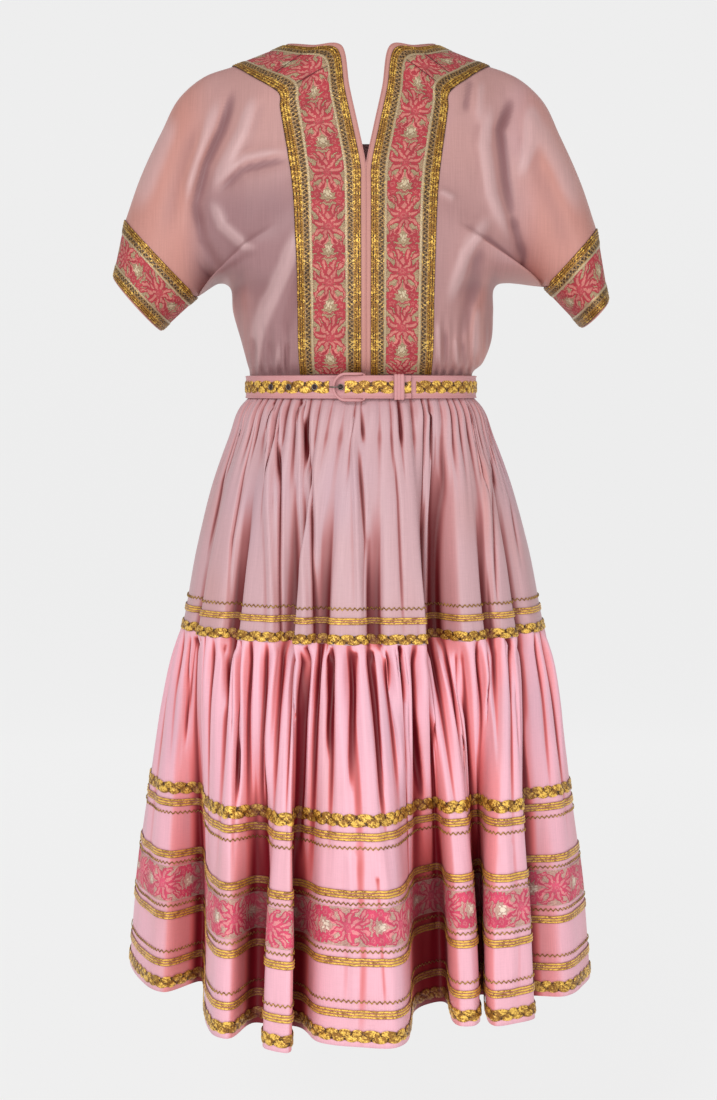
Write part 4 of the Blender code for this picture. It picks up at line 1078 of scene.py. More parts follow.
def gold_edge(across, along):
    """Height and paleness of the gold edging: cords outside, then lace, a pale stripe at the ribbon."""
    outside = across < CORDS_TO
    outer = cords(across / CORDS_TO, along, CORD_COUNT, EDGE_TWIST)
    inner = lace((across - CORDS_TO) / (LACE_TO - CORDS_TO), along, LACE_WAVE)
    height = np.where(outside, 0.05 + 0.95 * outer, 0.02 + 0.62 * inner)
    stripe = eased(LACE_TO, STRIPE_FROM, across)
    pale = np.maximum(stripe, np.where(outside, 0, 0.42 * inner))
    return height * (1 - stripe) + STRIPE_HIGH * stripe, pale


def scalloped(across, along):
    """Height of the leafy braid, and how far its edge is drawn in, for a scalloped outline."""
    phase = along / LEAF_LONG + 0.12 * np.sin(along * 90) + 0.06 * np.sin(along * 231)
    side = (across - 0.5) * 2 - 0.28 * np.sin(TURN * phase)
    own = phase + np.where(side < 0, 0.25, 0.75)
    lobe = np.abs(np.sin(math.pi * own))
    lean = np.abs(side) * 1.5 * np.sign(np.cos(math.pi * own))
    ribs = np.abs(np.sin(math.pi * (own * LEAF_RIBS + lean)))
    leaf = eased(0.0, 0.45, lobe) * (1 - 0.75 * np.exp(-((side / 0.16) ** 2)))
    edge = SCALLOP_DEEP * (1 - lobe ** 0.7)
    return np.clip((0.45 + 0.55 * ribs) * leaf + 0.02, 0, 1), edge


def lay_strip(name, laid, across, along, look, kind, lift=EDGE_LIFT):
    """A gold trim on a grid of cloth: rows across it, columns along it."""
    points, normals, shade = laid
    across = across[:, None]
    along = along[None, :]
    pale = np.zeros(points.shape[:2])
    if kind == "edge":
        height, pale = gold_edge(across, along)
    elif kind == "double":
        height = cords(across, along, CORD_COUNT, DOUBLE_TWIST)
    else:
        height, edge = scalloped(across, along)
        middle = points.mean(axis=0, keepdims=True)
        points = middle + (points - middle) * (1 - edge)[..., None]
    rim = np.minimum(1, np.minimum(across, 1 - across) * RIM_STEEP)
    spots = points + normals * (lift[0] + height * lift[1] * rim)[..., None]
    # The height of the threads is their tone too, which the gold look turns into painted highlight and
    # painted shade.
    return add_grid(name, spots, look, uv=paired(along, across), tone=height, pale=pale, shade=shade)


def lay_ribbon(name, laid, along, across, look):
    """Brocade on a grid of cloth, its pattern in metres along and across it."""
    points, normals, shade = laid
    return add_grid(name, points + normals * RIBBON_LIFT, look, uv=paired(along, across), shade=shade)


def skirt_trim(name, cloth, kind, top, low, looks):
    """One of the thin trims round a tier."""
    middle = (top + low) / 2
    if kind == "rickrack":
        return rickrack(name, cloth, middle, looks["gold"])
    count, rows = SKIRT_TRIM_GRID[kind]
    columns, along = ring_lengths(cloth, middle, count)
    across = np.linspace(0, 1, rows)
    laid = cloth.at(part_way(top, low, across), columns)
    look = looks["cord" if kind == "double" else "gold"]
    return lay_strip(name, laid, across, along, look, kind, SKIRT_TRIM_LIFT)


def rickrack(name, cloth, row, look):
    """A narrow wavy braid."""
    whole = ring_lengths(cloth, row, 1)[1][-1]
    waves = int(whole / WAVE_LONG)
    columns, along = ring_lengths(cloth, row, waves * WAVE_STEPS)
    points, normals, shade = cloth.at([row, row + 0.001], columns)
    down = unit(points[1] - points[0])
    swing = np.sin(TURN * waves * along / whole) * WAVE_HIGH
    shifts = (-WAVE_HALF, 0, WAVE_HALF)
    spots = np.stack([points[0] + down * (swing + shift)[:, None] for shift in shifts])
    spots = spots + normals[0][None] * np.array(WAVE_LIFT)[:, None, None]
    tone = np.broadcast_to(np.array(WAVE_TONE)[:, None], spots.shape[:2])
    uv = paired(along[None, :], np.array([0.0, 0.5, 1.0])[:, None])
    shade = np.broadcast_to(shade[:1], tone.shape)
    return add_grid(name, spots, look, uv=uv, tone=tone, pale=tone * 0, shade=shade)


# Bodice


def body_size(side, z):
    rows = np.array(BODY_SIZE)
    columns = [1 if side == "right" else 2, 3, 4]
    return np.moveaxis(smooth(z, rows[:, 0], rows[:, columns]), -1, 0)


def body_depth(side, x, z, back):
    """How far the body of the bodice stands from the plane of the side seams."""
    wide, front_deep, back_deep = body_size(side, z)
    deep = back_deep if back else front_deep
    across = np.sqrt(np.clip(1 - (x / wide) ** 2, 0, 1))
    line = np.array(SHOULDER_LINE)
    below = np.clip((smooth(x, line[:, 0], line[:, 1]) - z) / SHOULDER_ROUND, 0, 1)
    return deep * across * np.sqrt(1 - (1 - below) ** 2)


def overarm_lift(share):
    line = np.array(OVERARM)
    along = np.concatenate([[0], np.cumsum(np.hypot(*np.diff(line, axis=0).T))])
    spots = smooth(np.asarray(share) * along[-1], along, line)
    return spots - (line[0] + np.asarray(share)[:, None] * (line[-1] - line[0]))


def cuff_point(side, ring, angle):
    """Points of a sleeve ring in the plane of the front: 0 deg underarm, 180 deg overarm."""
    low_x, low_z, high_x, high_z = CUFF_RINGS[side][ring][:4]
    share = (1 - np.cos(np.radians(angle))) / 2
    return np.stack([low_x + (high_x - low_x) * share, low_z + (high_z - low_z) * share], axis=-1)


def row_end(side, row, angle):
    if row >= UNDERARM_ROW:
        return cuff_point(side, 0, angle)
    if row == len(SIDE_SEAM_Z):
        return np.array(UNDERARM[side])
    z = SIDE_SEAM_Z[row]
    return np.array([float(body_size(side, z)[0]), z])


def bodice_plan(side, rows, middle, band, sleeve):
    """The half bodice seen from the front, at the rows of the table and at fine columns."""
    lift = overarm_lift(sleeve)
    plan = []
    for number, (edge_x, edge_z, band_x, band_z, raised, angle) in enumerate(rows):
        edge = np.array([edge_x, edge_z])
        outer = np.array([band_x, band_z])
        end = row_end(side, number, angle)
        line = [np.array([edge_x * part, edge_z]) for part in middle]
        line += [edge + (outer - edge) * part for part in band]
        line += list(outer + (end - outer) * sleeve[:, None] + lift * raised)
        plan.append(line)
    return np.array(plan)


def section_depth(plan, sleeve, underarm):
    """Depth of the sleeve: a half ellipse between underarm and overarm at each share of its length."""
    keys, deep = zip(*SLEEVE_DEPTH)
    shares = np.concatenate([[0.0], sleeve])
    first = plan.shape[1] - len(shares)
    low = plan[underarm, first:]
    run = plan[-1, first:] - low
    part = ((plan[:, first:] - low) * run).sum(-1) / (run * run).sum(-1)
    part = np.clip(part, 0, 1)
    part[: underarm + 1] = 0
    depth = np.zeros(plan.shape[:2])
    depth[:, first:] = 2 * np.sqrt(part * (1 - part)) * smooth(shares, keys, deep)
    return depth


def softened(depth, rows, shares):
    """Draws out the sharp line that the row at the underarm would leave across the chest."""
    inward = 1 - eased(*SOFT_INWARD, shares)
    near = eased(*SOFT_FROM, rows) * (1 - eased(*SOFT_TO, rows))
    soft = blurred(depth, (SOFT_ROWS, 1.0), False)
    return depth + (soft - depth) * near[:, None] * inward


def half_bodice(side, back):
    """Fine grid of one front or half the back with its cuff, on its own side of the dress."""
    table = BACK_ROWS if back else FRONT_ROWS
    middle = np.arange(BACK_STEPS) / BACK_STEPS if back else np.array([])
    band = np.linspace(0, 1, BAND_STEPS + 1)
    sleeve = np.arange(1, SLEEVE_STEPS + 1) / SLEEVE_STEPS
    rows = np.linspace(0, len(table) - 1, (len(table) - 1) * ROW_STEPS + 1)
    coarse = bodice_plan(side, table, middle, band, sleeve)
    plan = smooth(rows, np.arange(len(table)), coarse)
    x, z = plan[..., 0], plan[..., 1]
    stretch = np.where(rows < UNDERARM_ROW, body_size(side, z[:, -1])[0] / x[:, -1], 1.0)
    body = body_depth(side, x * stretch[:, None], z, back)
    arm = section_depth(plan, sleeve, UNDERARM_ROW * ROW_STEPS)
    depth = (body ** MERGE_POWER + arm ** MERGE_POWER) ** (1 / MERGE_POWER)
    shares = np.concatenate([np.zeros(len(middle) + len(band)), sleeve])
    depth = softened(depth, rows, shares)
    flip = -1.0 if side == "left" else 1.0
    sheet = np.stack([x * flip, -depth, z], axis=-1)
    if side == "left" and not back:
        sheet[..., 0] += centre_shift(sheet[..., 0], rows)
    fullness = np.clip(depth / CREASED_DEPTH, 0, 1)
    sheet[..., 1] -= bodice_creases(sheet, back) * fullness
    sheet[..., 1] -= waist_gathers(sheet, side, back) * fullness
    sheet[..., 1] = np.minimum(sheet[..., 1], -SEAM)
    points = np.concatenate([sheet, cuff_grid(side, table, rows, flip)], axis=1)
    if back:
        points[..., 1] *= -1
    cuff = np.arange(1, CUFF_STEPS + 1) / CUFF_STEPS
    columns = np.concatenate([middle - 1, band, 1 + sleeve, 2 + cuff])
    return points, rows, columns


def centre_shift(x, rows):
    """The left front reaches past the middle to the right one, less so to the side and shoulder."""
    reach = np.clip((SHIFT_END + x) / (SHIFT_END - FRONT_ROWS[0][2]), 0, 1)
    by_row = 1 - (rows - (len(FRONT_ROWS) - 3)).clip(0, 2) / 2
    return (2 * CENTRE_X - SEAM) * reach * by_row[:, None]


def bodice_creases(sheet, back):
    """Creases seen on the fronts; the back has them mirrored and a little softer."""
    spots = pixels(sheet)
    if back:
        spots = spots * (-1, 1) + (2 * EYE_PIXEL[0], BACK_DROP)
    return crease_height(spots, BODICE_CREASES, True) * (BODICE_BACK_CREASES if back else 1.0)


def waist_gathers(sheet, side, back):
    """Small gathers above the belt, on the fronts only beside the bands."""
    x = np.abs(sheet[..., 0])
    count = BACK_GATHERS if back else FRONT_GATHERS
    wave = np.sin(x * TURN * count + 1.3 * np.sin(x * 90) + (0.8 if side == "left" else 0.0))
    rise = eased(*GATHERS_FOOT, sheet[..., 2]) * (1 - eased(*GATHERS_TOP, sheet[..., 2]))
    beside = 1.0 if back else eased(*GATHERS_BESIDE, x)
    return WAIST_GATHER_HIGH * wave * rise * beside


def cuff_grid(side, table, rows, flip):
    """The cuff beyond the sleeve, missing on rows that end at the side seam."""
    near, far = (ring[4] for ring in CUFF_RINGS[side])
    angle = smooth(rows, np.arange(len(table)), np.array([row[5] for row in table]))
    start = cuff_point(side, 0, angle)
    end = cuff_point(side, 1, angle)
    share = (np.arange(1, CUFF_STEPS + 1) / CUFF_STEPS)[None, :, None]
    spots = start[:, None] + (end - start)[:, None] * share
    deep = (near + (far - near) * share[..., 0]) * np.sin(np.radians(angle))[:, None]
    block = np.stack([spots[..., 0] * flip, -np.maximum(deep, SEAM), spots[..., 1]], axis=-1)
    block[rows < UNDERARM_ROW] = np.nan
    return block


def bodice_sheet(side, back):
    """A half bodice as cloth, its normals outward."""
    points, rows, columns = half_bodice(side, back)
    normals = sheet_normals(points)
    sign = 1 if (side == "right") == back else -1
    return Cloth(points, rows, columns, normals=normals * sign)


def bodice_values(cloth):
    """Hollows and crowns for painted shade and sheen, creases for painted highlight and shade, and
    patches of colour at each point of a half bodice.
    """
    grid = cloth.points
    side, ahead, up = (grid[..., axis] for axis in range(3))
    filled = np.where(np.isnan(grid), 0, grid)
    # How deep the cloth lies in creases and in wide valleys, for painted shade.
    near = hollows(filled, cloth.normals, *CREASE_HOLLOW)
    far = hollows(filled, cloth.normals, *BODY_HOLLOW)
    for each in (near, far):
        each[:, len(cloth.columns) - CUFF_STEPS - 1:] = 0
        each[np.abs(ahead) < SEAM_NEAR] = 0
    # Height of the creases, for their painted highlight and painted shade.
    fold = np.clip(bodice_creases(filled, ahead[0, 0] > 0) / CREASE_FULL, -1, 1)
    flank = eased(*FLANK_X, np.abs(side)) * eased(*FLANK_Z, up)
    sleeve = np.maximum(eased(*SLEEVE_X, np.abs(side)), FLANK_TINT * flank)
    sleeve[:, (cloth.columns >= 0) & (cloth.columns <= PLACKET_WIDE / BAND_OFFSETS[-1])] = 1.0
    chest = eased(*CHEST_Z, up) * (1 - sleeve) * eased(*CHEST_X, side)
    # How squarely the cloth faces front or back, for painted sheen.
    sheen_crown = np.abs(cloth.normals[..., 1])
    return {"near": near, "far": far, "sheen_crown": sheen_crown, "fold": fold, "sleeve": sleeve, "chest": chest}


def add_bodice(name, cloths, look):
    """A panel of the bodice from one half or two."""
    parts = []
    for number, cloth in enumerate(cloths):
        uv = cloth.points[..., [0, 2]]
        parts.append(add_grid(f"{name}_{number}", cloth.points, look, uv=uv, **bodice_values(cloth)))
    return joined(name, parts) if len(parts) > 1 else parts[0]


def open_neck(cloth):
    """Cuts the neck out of half the back."""
    rows = cloth.rows[:, None] > NECK_ROW
    inside = cloth.columns[None, :] < 0
    cloth.points[np.broadcast_to(rows & inside, cloth.points.shape[:2])] = np.nan
    return cloth


def band_column(offset):
    """The column of the band at a distance from the neck edge."""
    return offset / BAND_OFFSETS[-1]


def spaced_rows(cloth, low, high, column, step):
    """Rows at even steps of length along one column, and the lengths."""
    keys = np.linspace(low, high, FINE_STEPS)
    line = cloth.at(keys, [column, column])[0][:, 0]
    along = lengths_along(line)
    stops = np.linspace(0, along[-1], int(along[-1] / step) + 2)
    return np.interp(stops, along, keys), stops


def band_trims(cloth, side, looks):
    """The ribbon and gold edges up a front."""
    made = {}
    across = np.linspace(0, 1, STRIP_ROWS)
    for name in ("inner", "outer"):
        start, end = BAND_PARTS[name]
        rows, along = spaced_rows(cloth, *BAND_ROWS, band_column((start + end) / 2), EDGE_STEP)
        columns = band_column(part_way(start, end, across))
        laid = [np.swapaxes(each, 0, 1) for each in cloth.at(rows, columns)]
        made[name] = lay_strip(f"gold_{name}_{side}", laid, across, along, looks["gold"], "edge")
    rows, along = spaced_rows(cloth, *BAND_ROWS, band_column(BAND_MIDDLE), RIBBON_STEP)
    wide = np.linspace(-1, 1, STRIP_ROWS) * RIBBON_WIDE / 2
    laid = cloth.at(rows, band_column(BAND_MIDDLE + wide))
    along = along + (LEFT_PATTERN_SHIFT if side == "left" else 0.0)
    name = f"ribbon_front_{side}"
    made["ribbon"] = lay_ribbon(name, laid, along[:, None], wide[None, :], looks["brocade"])
    return made


def mitre(name, cloth, look, side):
    """The folded corner of the band near the shoulder: thin lines of painted shadow at its seams, over
    the ribbon and braid.
    """
    lines = []
    share = np.linspace(0, 1, 12)
    for inner, outer in MITRES[side]:
        rows, offsets = (part_way(first, last, share) for first, last in zip(inner, outer))
        points, normals, _ = cloth.along(rows, band_column(offsets))
        line = points + normals * MITRE_LIFT
        lines.append(add_pipe(f"{name}_{len(lines)}", line, MITRE_RADIUS, look, sides=4, out=normals))
    return lines


def neck_band(cloths, looks):
    """Gold edges and ribbon round the back of the neck, from one shoulder to the other."""
    made = {}
    across = np.linspace(0, 1, STRIP_ROWS)
    for name, ends in BAND_PARTS.items():
        offsets = part_way(*ends, across)
        laid = [np.stack(each) for each in zip(*(neck_path(cloths, offset) for offset in offsets))]
        along = lengths_along(laid[0][len(offsets) // 2])
        if name == "ribbon":
            wide = (offsets - BAND_MIDDLE)[:, None]
            made[name] = lay_ribbon("ribbon_back", laid, along[None, :], wide, looks["brocade"])
        else:
            made[name] = lay_strip(f"gold_back_{name}", laid, across, along, looks["gold"], "edge")
    return made


def neck_path(cloths, offset):
    """Down the band from one shoulder, across the back and up again, at an offset from the neck."""
    row = np.interp(offset, NECK_OFFSETS, NECK_ROWS)
    column = band_column(offset)
    rows = np.concatenate([np.linspace(BAND_ROWS[1], row, NECK_DOWN), np.full(NECK_ACROSS, row)])
    across = np.linspace(column, -1, NECK_ACROSS + 1)[1:]
    columns = np.concatenate([np.full(NECK_DOWN, column), across])
    halves = [cloth.along(rows, columns) for cloth in cloths]
    return [np.concatenate([near, far[-2::-1]]) for near, far in zip(*halves)]


def cuff_cloth(front_half, back_half):
    """The cuff as one closed cloth: rows from the sleeve to its end, columns round it."""
    low = UNDERARM_ROW * ROW_STEPS
    grids = []
    for key in ("points", "normals"):
        ahead = getattr(front_half, key)[low:, -CUFF_STEPS - 1:]
        behind = getattr(back_half, key)[-2:low:-1, -CUFF_STEPS - 1:]
        grids.append(np.concatenate([ahead, behind]).transpose(1, 0, 2))
    count = grids[0].shape[1]
    rows = np.arange(CUFF_STEPS + 1) / CUFF_STEPS
    return Cloth(grids[0], rows, np.arange(count) / count, True, unit(grids[1]))


def cuff_trims(side, cloth, looks):
    """Ribbon and gold edges round a cuff."""
    made = {}
    fine_columns, fine_along = round_lengths(cloth, 0.5, FINE_STEPS)
    across = np.linspace(0, 1, STRIP_ROWS)
    for name, (start, end, step) in CUFF_PARTS.items():
        along = np.linspace(0, fine_along[-1], int(fine_along[-1] / step))
        columns = np.interp(along, fine_along, fine_columns)
        laid = cloth.at(part_way(start, end, across), columns)
        if name == "ribbon":
            wide = RIBBON_WIDE * (across - 0.5)[:, None]
            made[name] = lay_ribbon(f"ribbon_cuff_{side}", laid, along[None, :], wide, looks["brocade"])
        else:
            title = f"gold_cuff_{name}_{side}"
            made[name] = lay_strip(title, laid, across, along, looks["gold"], "edge")
    edge = cloth.at([1.0], np.arange(CUFF_FOLD_STEPS) / CUFF_FOLD_STEPS)[0][0]
    made["hem"] = add_pipe(f"cuff_fold_{side}", edge, CUFF_FOLD_RADIUS, looks["sleeve"], closed=True)
    return made


def skirt_ribbon(cloth, look):
    """The brocade round the lower tier."""
    columns, along = ring_lengths(cloth, sum(SKIRT_RIBBON) / 2, SKIRT_RIBBON_STEPS)
    across = np.linspace(0, 1, 9)
    laid = cloth.at(part_way(*SKIRT_RIBBON, across), columns)
    wide = (across[:, None] - 0.5) * RIBBON_WIDE
    return lay_ribbon("ribbon_skirt", laid, along[None, :], wide, look)


def zip_strip(cloth, look):
    """The tape behind the meeting edges of the fronts."""
    points, normals, _ = cloth.at(np.linspace(*ZIP_ROWS, 60), ZIP_COLUMNS)
    points[..., 0] = CENTRE_X + np.array(ZIP_X)
    points[..., 1] = points[:, :1, 1]
    return add_grid("zip_cloth", points - normals[:, :1] * ZIP_BEHIND, look, uv=points[..., [0, 2]])


# Belt


def tab_rise(x):
    keys, heights = zip(*TAB_RISE)
    return smooth(np.clip(x, keys[0], keys[-1]), keys, heights)


def belt_angle(x):
    return math.asin(x / BELT_HALF_WIDE)


def belt_line(angle, out, high):
    """Points round the belt at distances out from its inner face and at heights above its middle."""
    out = np.asarray(out, float)[..., None]
    facing = unit(np.stack([np.sin(angle) / BELT_HALF_WIDE, -np.cos(angle) / BELT_HALF_DEEP], axis=-1))
    spots = np.stack([BELT_HALF_WIDE * np.sin(angle), -BELT_HALF_DEEP * np.cos(angle)], axis=-1)
    on_tab = ((angle > math.pi) | (angle[-1] < math.pi)) & (np.cos(angle) > 0.5)
    spots = spots + facing * (out + np.where(on_tab, tab_rise(spots[:, 0]), 0.0)[:, None])
    height = np.broadcast_to(BELT_Z + np.asarray(high, float)[..., None], spots.shape[:-1] + (1,))
    return np.concatenate([spots, height], axis=-1), np.concatenate([facing, 0 * facing[:, :1]], axis=-1)


def belt_strap(looks):
    """The strap with a piped edge, once round and on as the tab."""
    start, end = (belt_angle(x) for x in STRAP_X)
    angle = np.linspace(start, end + TURN, STRAP_STEPS)
    section = STRAP_HALF + tuple((out, -high) for out, high in STRAP_HALF[::-1]) + ((0.0, 0.0),)
    rows = [belt_line(angle, out, BELT_HIGH / 2 * high)[0] for out, high in section]
    grid = np.stack(rows + rows[:1])
    caps = [np.broadcast_to(grid[:, at].mean(axis=0), (len(grid), 1, 3)) for at in (0, -1)]
    grid = np.concatenate([caps[0], grid, caps[1]], axis=1)
    along = np.concatenate([angle[:1], angle, angle[-1:]]) * BELT_HALF_WIDE
    across = np.arange(len(section) + 1) * STRAP_UV_STEP
    return add_grid("belt_cloth", grid, looks["rose"], uv=paired(across[:, None], along[None, :]))


def belt_braid(name, places, looks):
    """The leafy braid along the middle of the belt."""
    start, end = (belt_angle(x) for x in places)
    end += TURN if end < start else 0
    angle = np.linspace(start, end, int((end - start) * BELT_RADIUS / EDGE_STEP))
    across = np.linspace(0, 1, 9)
    high = BELT_BRAID_HALF * (1 - 2 * across)[:, None]
    points, normals = belt_line(angle, np.full(high.shape, BELT_BRAID_OUT), high)
    laid = (points, np.broadcast_to(normals, points.shape), np.zeros(points.shape[:2]))
    return lay_strip(name, laid, across, angle * BELT_RADIUS, looks["gold"], "scallop", BELT_BRAID_LIFT)


def belt_place(x, out, high):
    """A point on the front of the belt and its facing."""
    points, facing = belt_line(np.array([belt_angle(x), 0.0]), 0.0, 0.0)
    return points[0] * (1, 1, 0) + facing[0] * out + (0, 0, BELT_Z + high), facing[0]


def buckle(looks):
    """The covered frame: straight bar at the right, round rim at the left."""
    half = BUCKLE_HALF_HIGH - FRAME_RADIUS
    straight = (BAR_X, BAR_X - BAR_END, (BAR_X + RIM_X + BUCKLE_BEND) / 2)
    plan = [(x, -half) for x in straight]
    for turn in np.radians(np.linspace(-90, -270, 25)):
        plan.append((RIM_X + BUCKLE_BEND * (1 + math.cos(turn)), half * math.sin(turn)))
    plan += [(x, half) for x in straight[::-1]]
    line = []
    for x, high in plan:
        share = min((BAR_X - x) / (BAR_X - RIM_X) * RIM_RISE, 1.0)
        line.append(belt_place(x, part_way(BAR_OUT, RIM_OUT, share), high)[0])
    return add_pipe("buckle_cloth", line, FRAME_RADIUS, looks["rose"], sides=14, closed=True)


def squared(value):
    """A sine or cosine bent so that the round it draws becomes a rounded oblong."""
    return np.sign(value) * abs(value) ** KEEPER_SQUARE


def keeper(looks):
    """The ridged loop over the tab."""
    share = np.linspace(0, 1, 25)
    turn = np.linspace(0, TURN, 72, endpoint=False)
    loops = []
    for part in share:
        more = KEEPER_RIDGE * abs(math.sin(KEEPER_RIDGES * math.pi * part)) ** 0.6
        x = part_way(*KEEPER_X, part)
        loop = []
        for angle in turn:
            out = KEEPER_MIDDLE + squared(math.cos(angle)) * (KEEPER_HALF_OUT + more)
            high = squared(math.sin(angle)) * (KEEPER_HALF_HIGH + more)
            loop.append(belt_place(x, out, high)[0])
        loops.append(loop)
    grid = np.array(loops)[:, ::-1]
    uv = paired(share[:, None] * KEEPER_UV, turn[None, :] * KEEPER_UV)
    return add_grid("keeper_cloth", grid, looks["rose"], closed=True, uv=uv)


def eyelets(looks):
    """Metal rings in the strap, and the pin through the last of them."""
    made = []
    turn = np.linspace(0, TURN, 28, endpoint=False)[:, None]
    for number, x in enumerate(EYELETS_X, 1):
        middle, facing = belt_place(x, EYELET_OUT + float(tab_rise(x)), 0.0)
        side = np.cross((0.0, 0.0, 1.0), facing)
        ring = middle + (side * np.cos(turn) + np.array([0, 0, 1.0]) * np.sin(turn)) * EYELET_RADIUS
        rim = add_pipe(f"rim_{number}", ring, EYELET_RIM, looks["metal"], 8, True, facing)
        # A dark disc inside each ring, painted shadow in the hole.
        hole = np.stack([np.broadcast_to(middle, ring.shape), ring]) - facing * EYELET_SUNK
        disc = add_grid(f"hole_{number}", hole, looks["painted_shadow"], closed=True, uv=hole[..., [0, 2]])
        made.append(joined(f"eyelet_ring_{number}", [rim, disc]))
    line = [belt_place(x, out, 0.0)[0] for x, out in PRONG_ROUTE]
    keys = np.arange(len(line))
    line = smooth(np.linspace(0, keys[-1], 24), keys, np.array(line))
    return made, add_pipe("prong_pin", line, PRONG_RADIUS, looks["metal"], sides=10)


# Looks


class Look:
    """A material built from numbers joined by nodes."""

    def __init__(self, name):
        self.material = bpy.data.materials.new(name)
        self.material.use_nodes = True
        self.nodes = self.material.node_tree.nodes
        self.shader = self.nodes["Principled BSDF"]

    def put(self, socket, value):
        if isinstance(value, bpy.types.NodeSocket):
            self.material.node_tree.links.new(value, socket)
        elif isinstance(value, tuple) and len(value) == 3 and socket.type == "RGBA":
            socket.default_value = (*value, 1.0)
        else:
            socket.default_value = value

    def set(self, **values):
        for key, value in values.items():
            self.put(self.shader.inputs[key.replace("_", " ")], value)

    def node(self, kind, *inputs, **options):
        made = self.nodes.new(kind)
        for key, value in options.items():
            setattr(made, key, value)
        for number, value in enumerate(inputs):
            if value is not None:
                self.put(made.inputs[number], value)
        return made

    def math(self, operation, *inputs):
        return self.node("ShaderNodeMath", *inputs, operation=operation).outputs[0]

    def times(self, first, second):
        return self.math("MULTIPLY", first, second)

    def plus(self, first, second):
        return self.math("ADD", first, second)

    def minus(self, first, second):
        return self.math("SUBTRACT", first, second)

    def size(self, value):
        return self.math("ABSOLUTE", value)

    def mix(self, share, first, second, blend="MIX"):
        made = self.node("ShaderNodeMix", data_type="RGBA", blend_type=blend)
        for name, value in (("Factor_Float", share), ("A_Color", first), ("B_Color", second)):
            self.put(next(each for each in made.inputs if each.identifier == name), value)
        return next(each for each in made.outputs if each.identifier == "Result_Color")

    def value(self, name):
        return self.node("ShaderNodeAttribute", attribute_name=name).outputs["Fac"]

    def noise(self, scale, detail=2.0, vector=None):
        where = self.node("ShaderNodeMapping", vector or self.node("ShaderNodeTexCoord").outputs["UV"])
        self.put(where.inputs["Scale"], scale)
        made = self.node("ShaderNodeTexNoise", where.outputs[0])
        made.inputs["Scale"].default_value = 1.0
        made.inputs["Detail"].default_value = detail
        return made.outputs["Fac"]

    def ramp(self, value, low, high, start=0.0, end=1.0):
        inputs = (value, low, high, start, end)
        return self.node("ShaderNodeMapRange", *inputs, interpolation_type="SMOOTHSTEP").outputs[0]

    def spread(self, noise, amount):
        """Noise as a number from -amount to amount."""
        return self.ramp(noise, *NOISE_RANGE, -amount, amount)

    def uv(self):
        where = self.node("ShaderNodeTexCoord").outputs["UV"]
        return self.node("ShaderNodeSeparateXYZ", where).outputs

    def times_grey(self, colour, grey):
        grey = self.node("ShaderNodeCombineColor", grey, grey, grey).outputs[0]
        return self.mix(1.0, colour, grey, "MULTIPLY")

    def bump(self, height, distance, strength=1.0):
        made = self.node("ShaderNodeBump")
        made.inputs["Strength"].default_value = strength
        made.inputs["Distance"].default_value = distance
        self.put(made.inputs["Height"], height)
        self.put(self.shader.inputs["Normal"], made.outputs[0])


def taffeta(name, colours, body=False, strength=1.0):
    """Changeable silk: painted sheen makes the crowns pale, painted shade makes the flanks warm and the
    valleys dark red.
    """
    look = Look(name)
    streak = look.noise(STREAKS, 3.0)
    slub = look.noise(SLUBS)
    cloud = look.noise(CLOUDS)
    # Painted sheen: cloth that faces out takes the pale crown colour, cloth turned sideways the painted
    # shade of the flank colour.
    colour = look.mix(look.ramp(look.value("sheen_crown"), 0.15, 0.80), colours["flank"], colours["sheen_crown"])
    colour = look.mix(look.ramp(cloud, 0.52, 0.75, 0.0, 0.35), colour, LILAC)
    colour = look.mix(look.ramp(cloud, 0.48, 0.25, 0.0, 0.30), colour, PEACH)
    if body:
        fold = look.value("fold")
        colour = look.mix(look.times(look.value("sleeve"), 0.65), colour, PEACH)
        colour = look.mix(look.times(look.value("chest"), 0.75), colour, CHEST)
        # Painted highlight on the ridges of the creases, painted shade of the half colour in their
        # valleys.
        colour = look.mix(look.ramp(fold, 0.05, 0.90, 0.0, 0.55), colour, RIDGE_HIGHLIGHT)
        colour = look.mix(look.ramp(fold, -0.05, -0.90, 0.0, 0.50), colour, colours["half"])
    thread = look.plus(look.spread(streak, 0.05), look.spread(slub, 0.025))
    colour = look.times_grey(colour, look.plus(thread, 1.0))
    # Painted shade in the valleys: the half colour in shallow ones, the deep colour in the deepest.
    near = look.times(look.value("near"), 0.78 * strength)
    far = look.times(look.value("far"), 0.90 * strength)
    open_share = look.times(look.minus(1.0, near), look.minus(1.0, far))
    colour = look.mix(look.ramp(open_share, 0.95, 0.45), colour, colours["half"])
    colour = look.mix(look.ramp(open_share, 0.66, 0.14), colour, colours["deep"])
    look.set(Base_Color=colour, Roughness=0.44, Specular_IOR_Level=0.26)
    look.set(Sheen_Weight=0.05, Sheen_Roughness=0.35, Sheen_Tint=(1.0, 0.75, 0.80))
    look.bump(look.plus(streak, look.times(slub, 0.6)), 0.0001, 0.4)
    return look.material


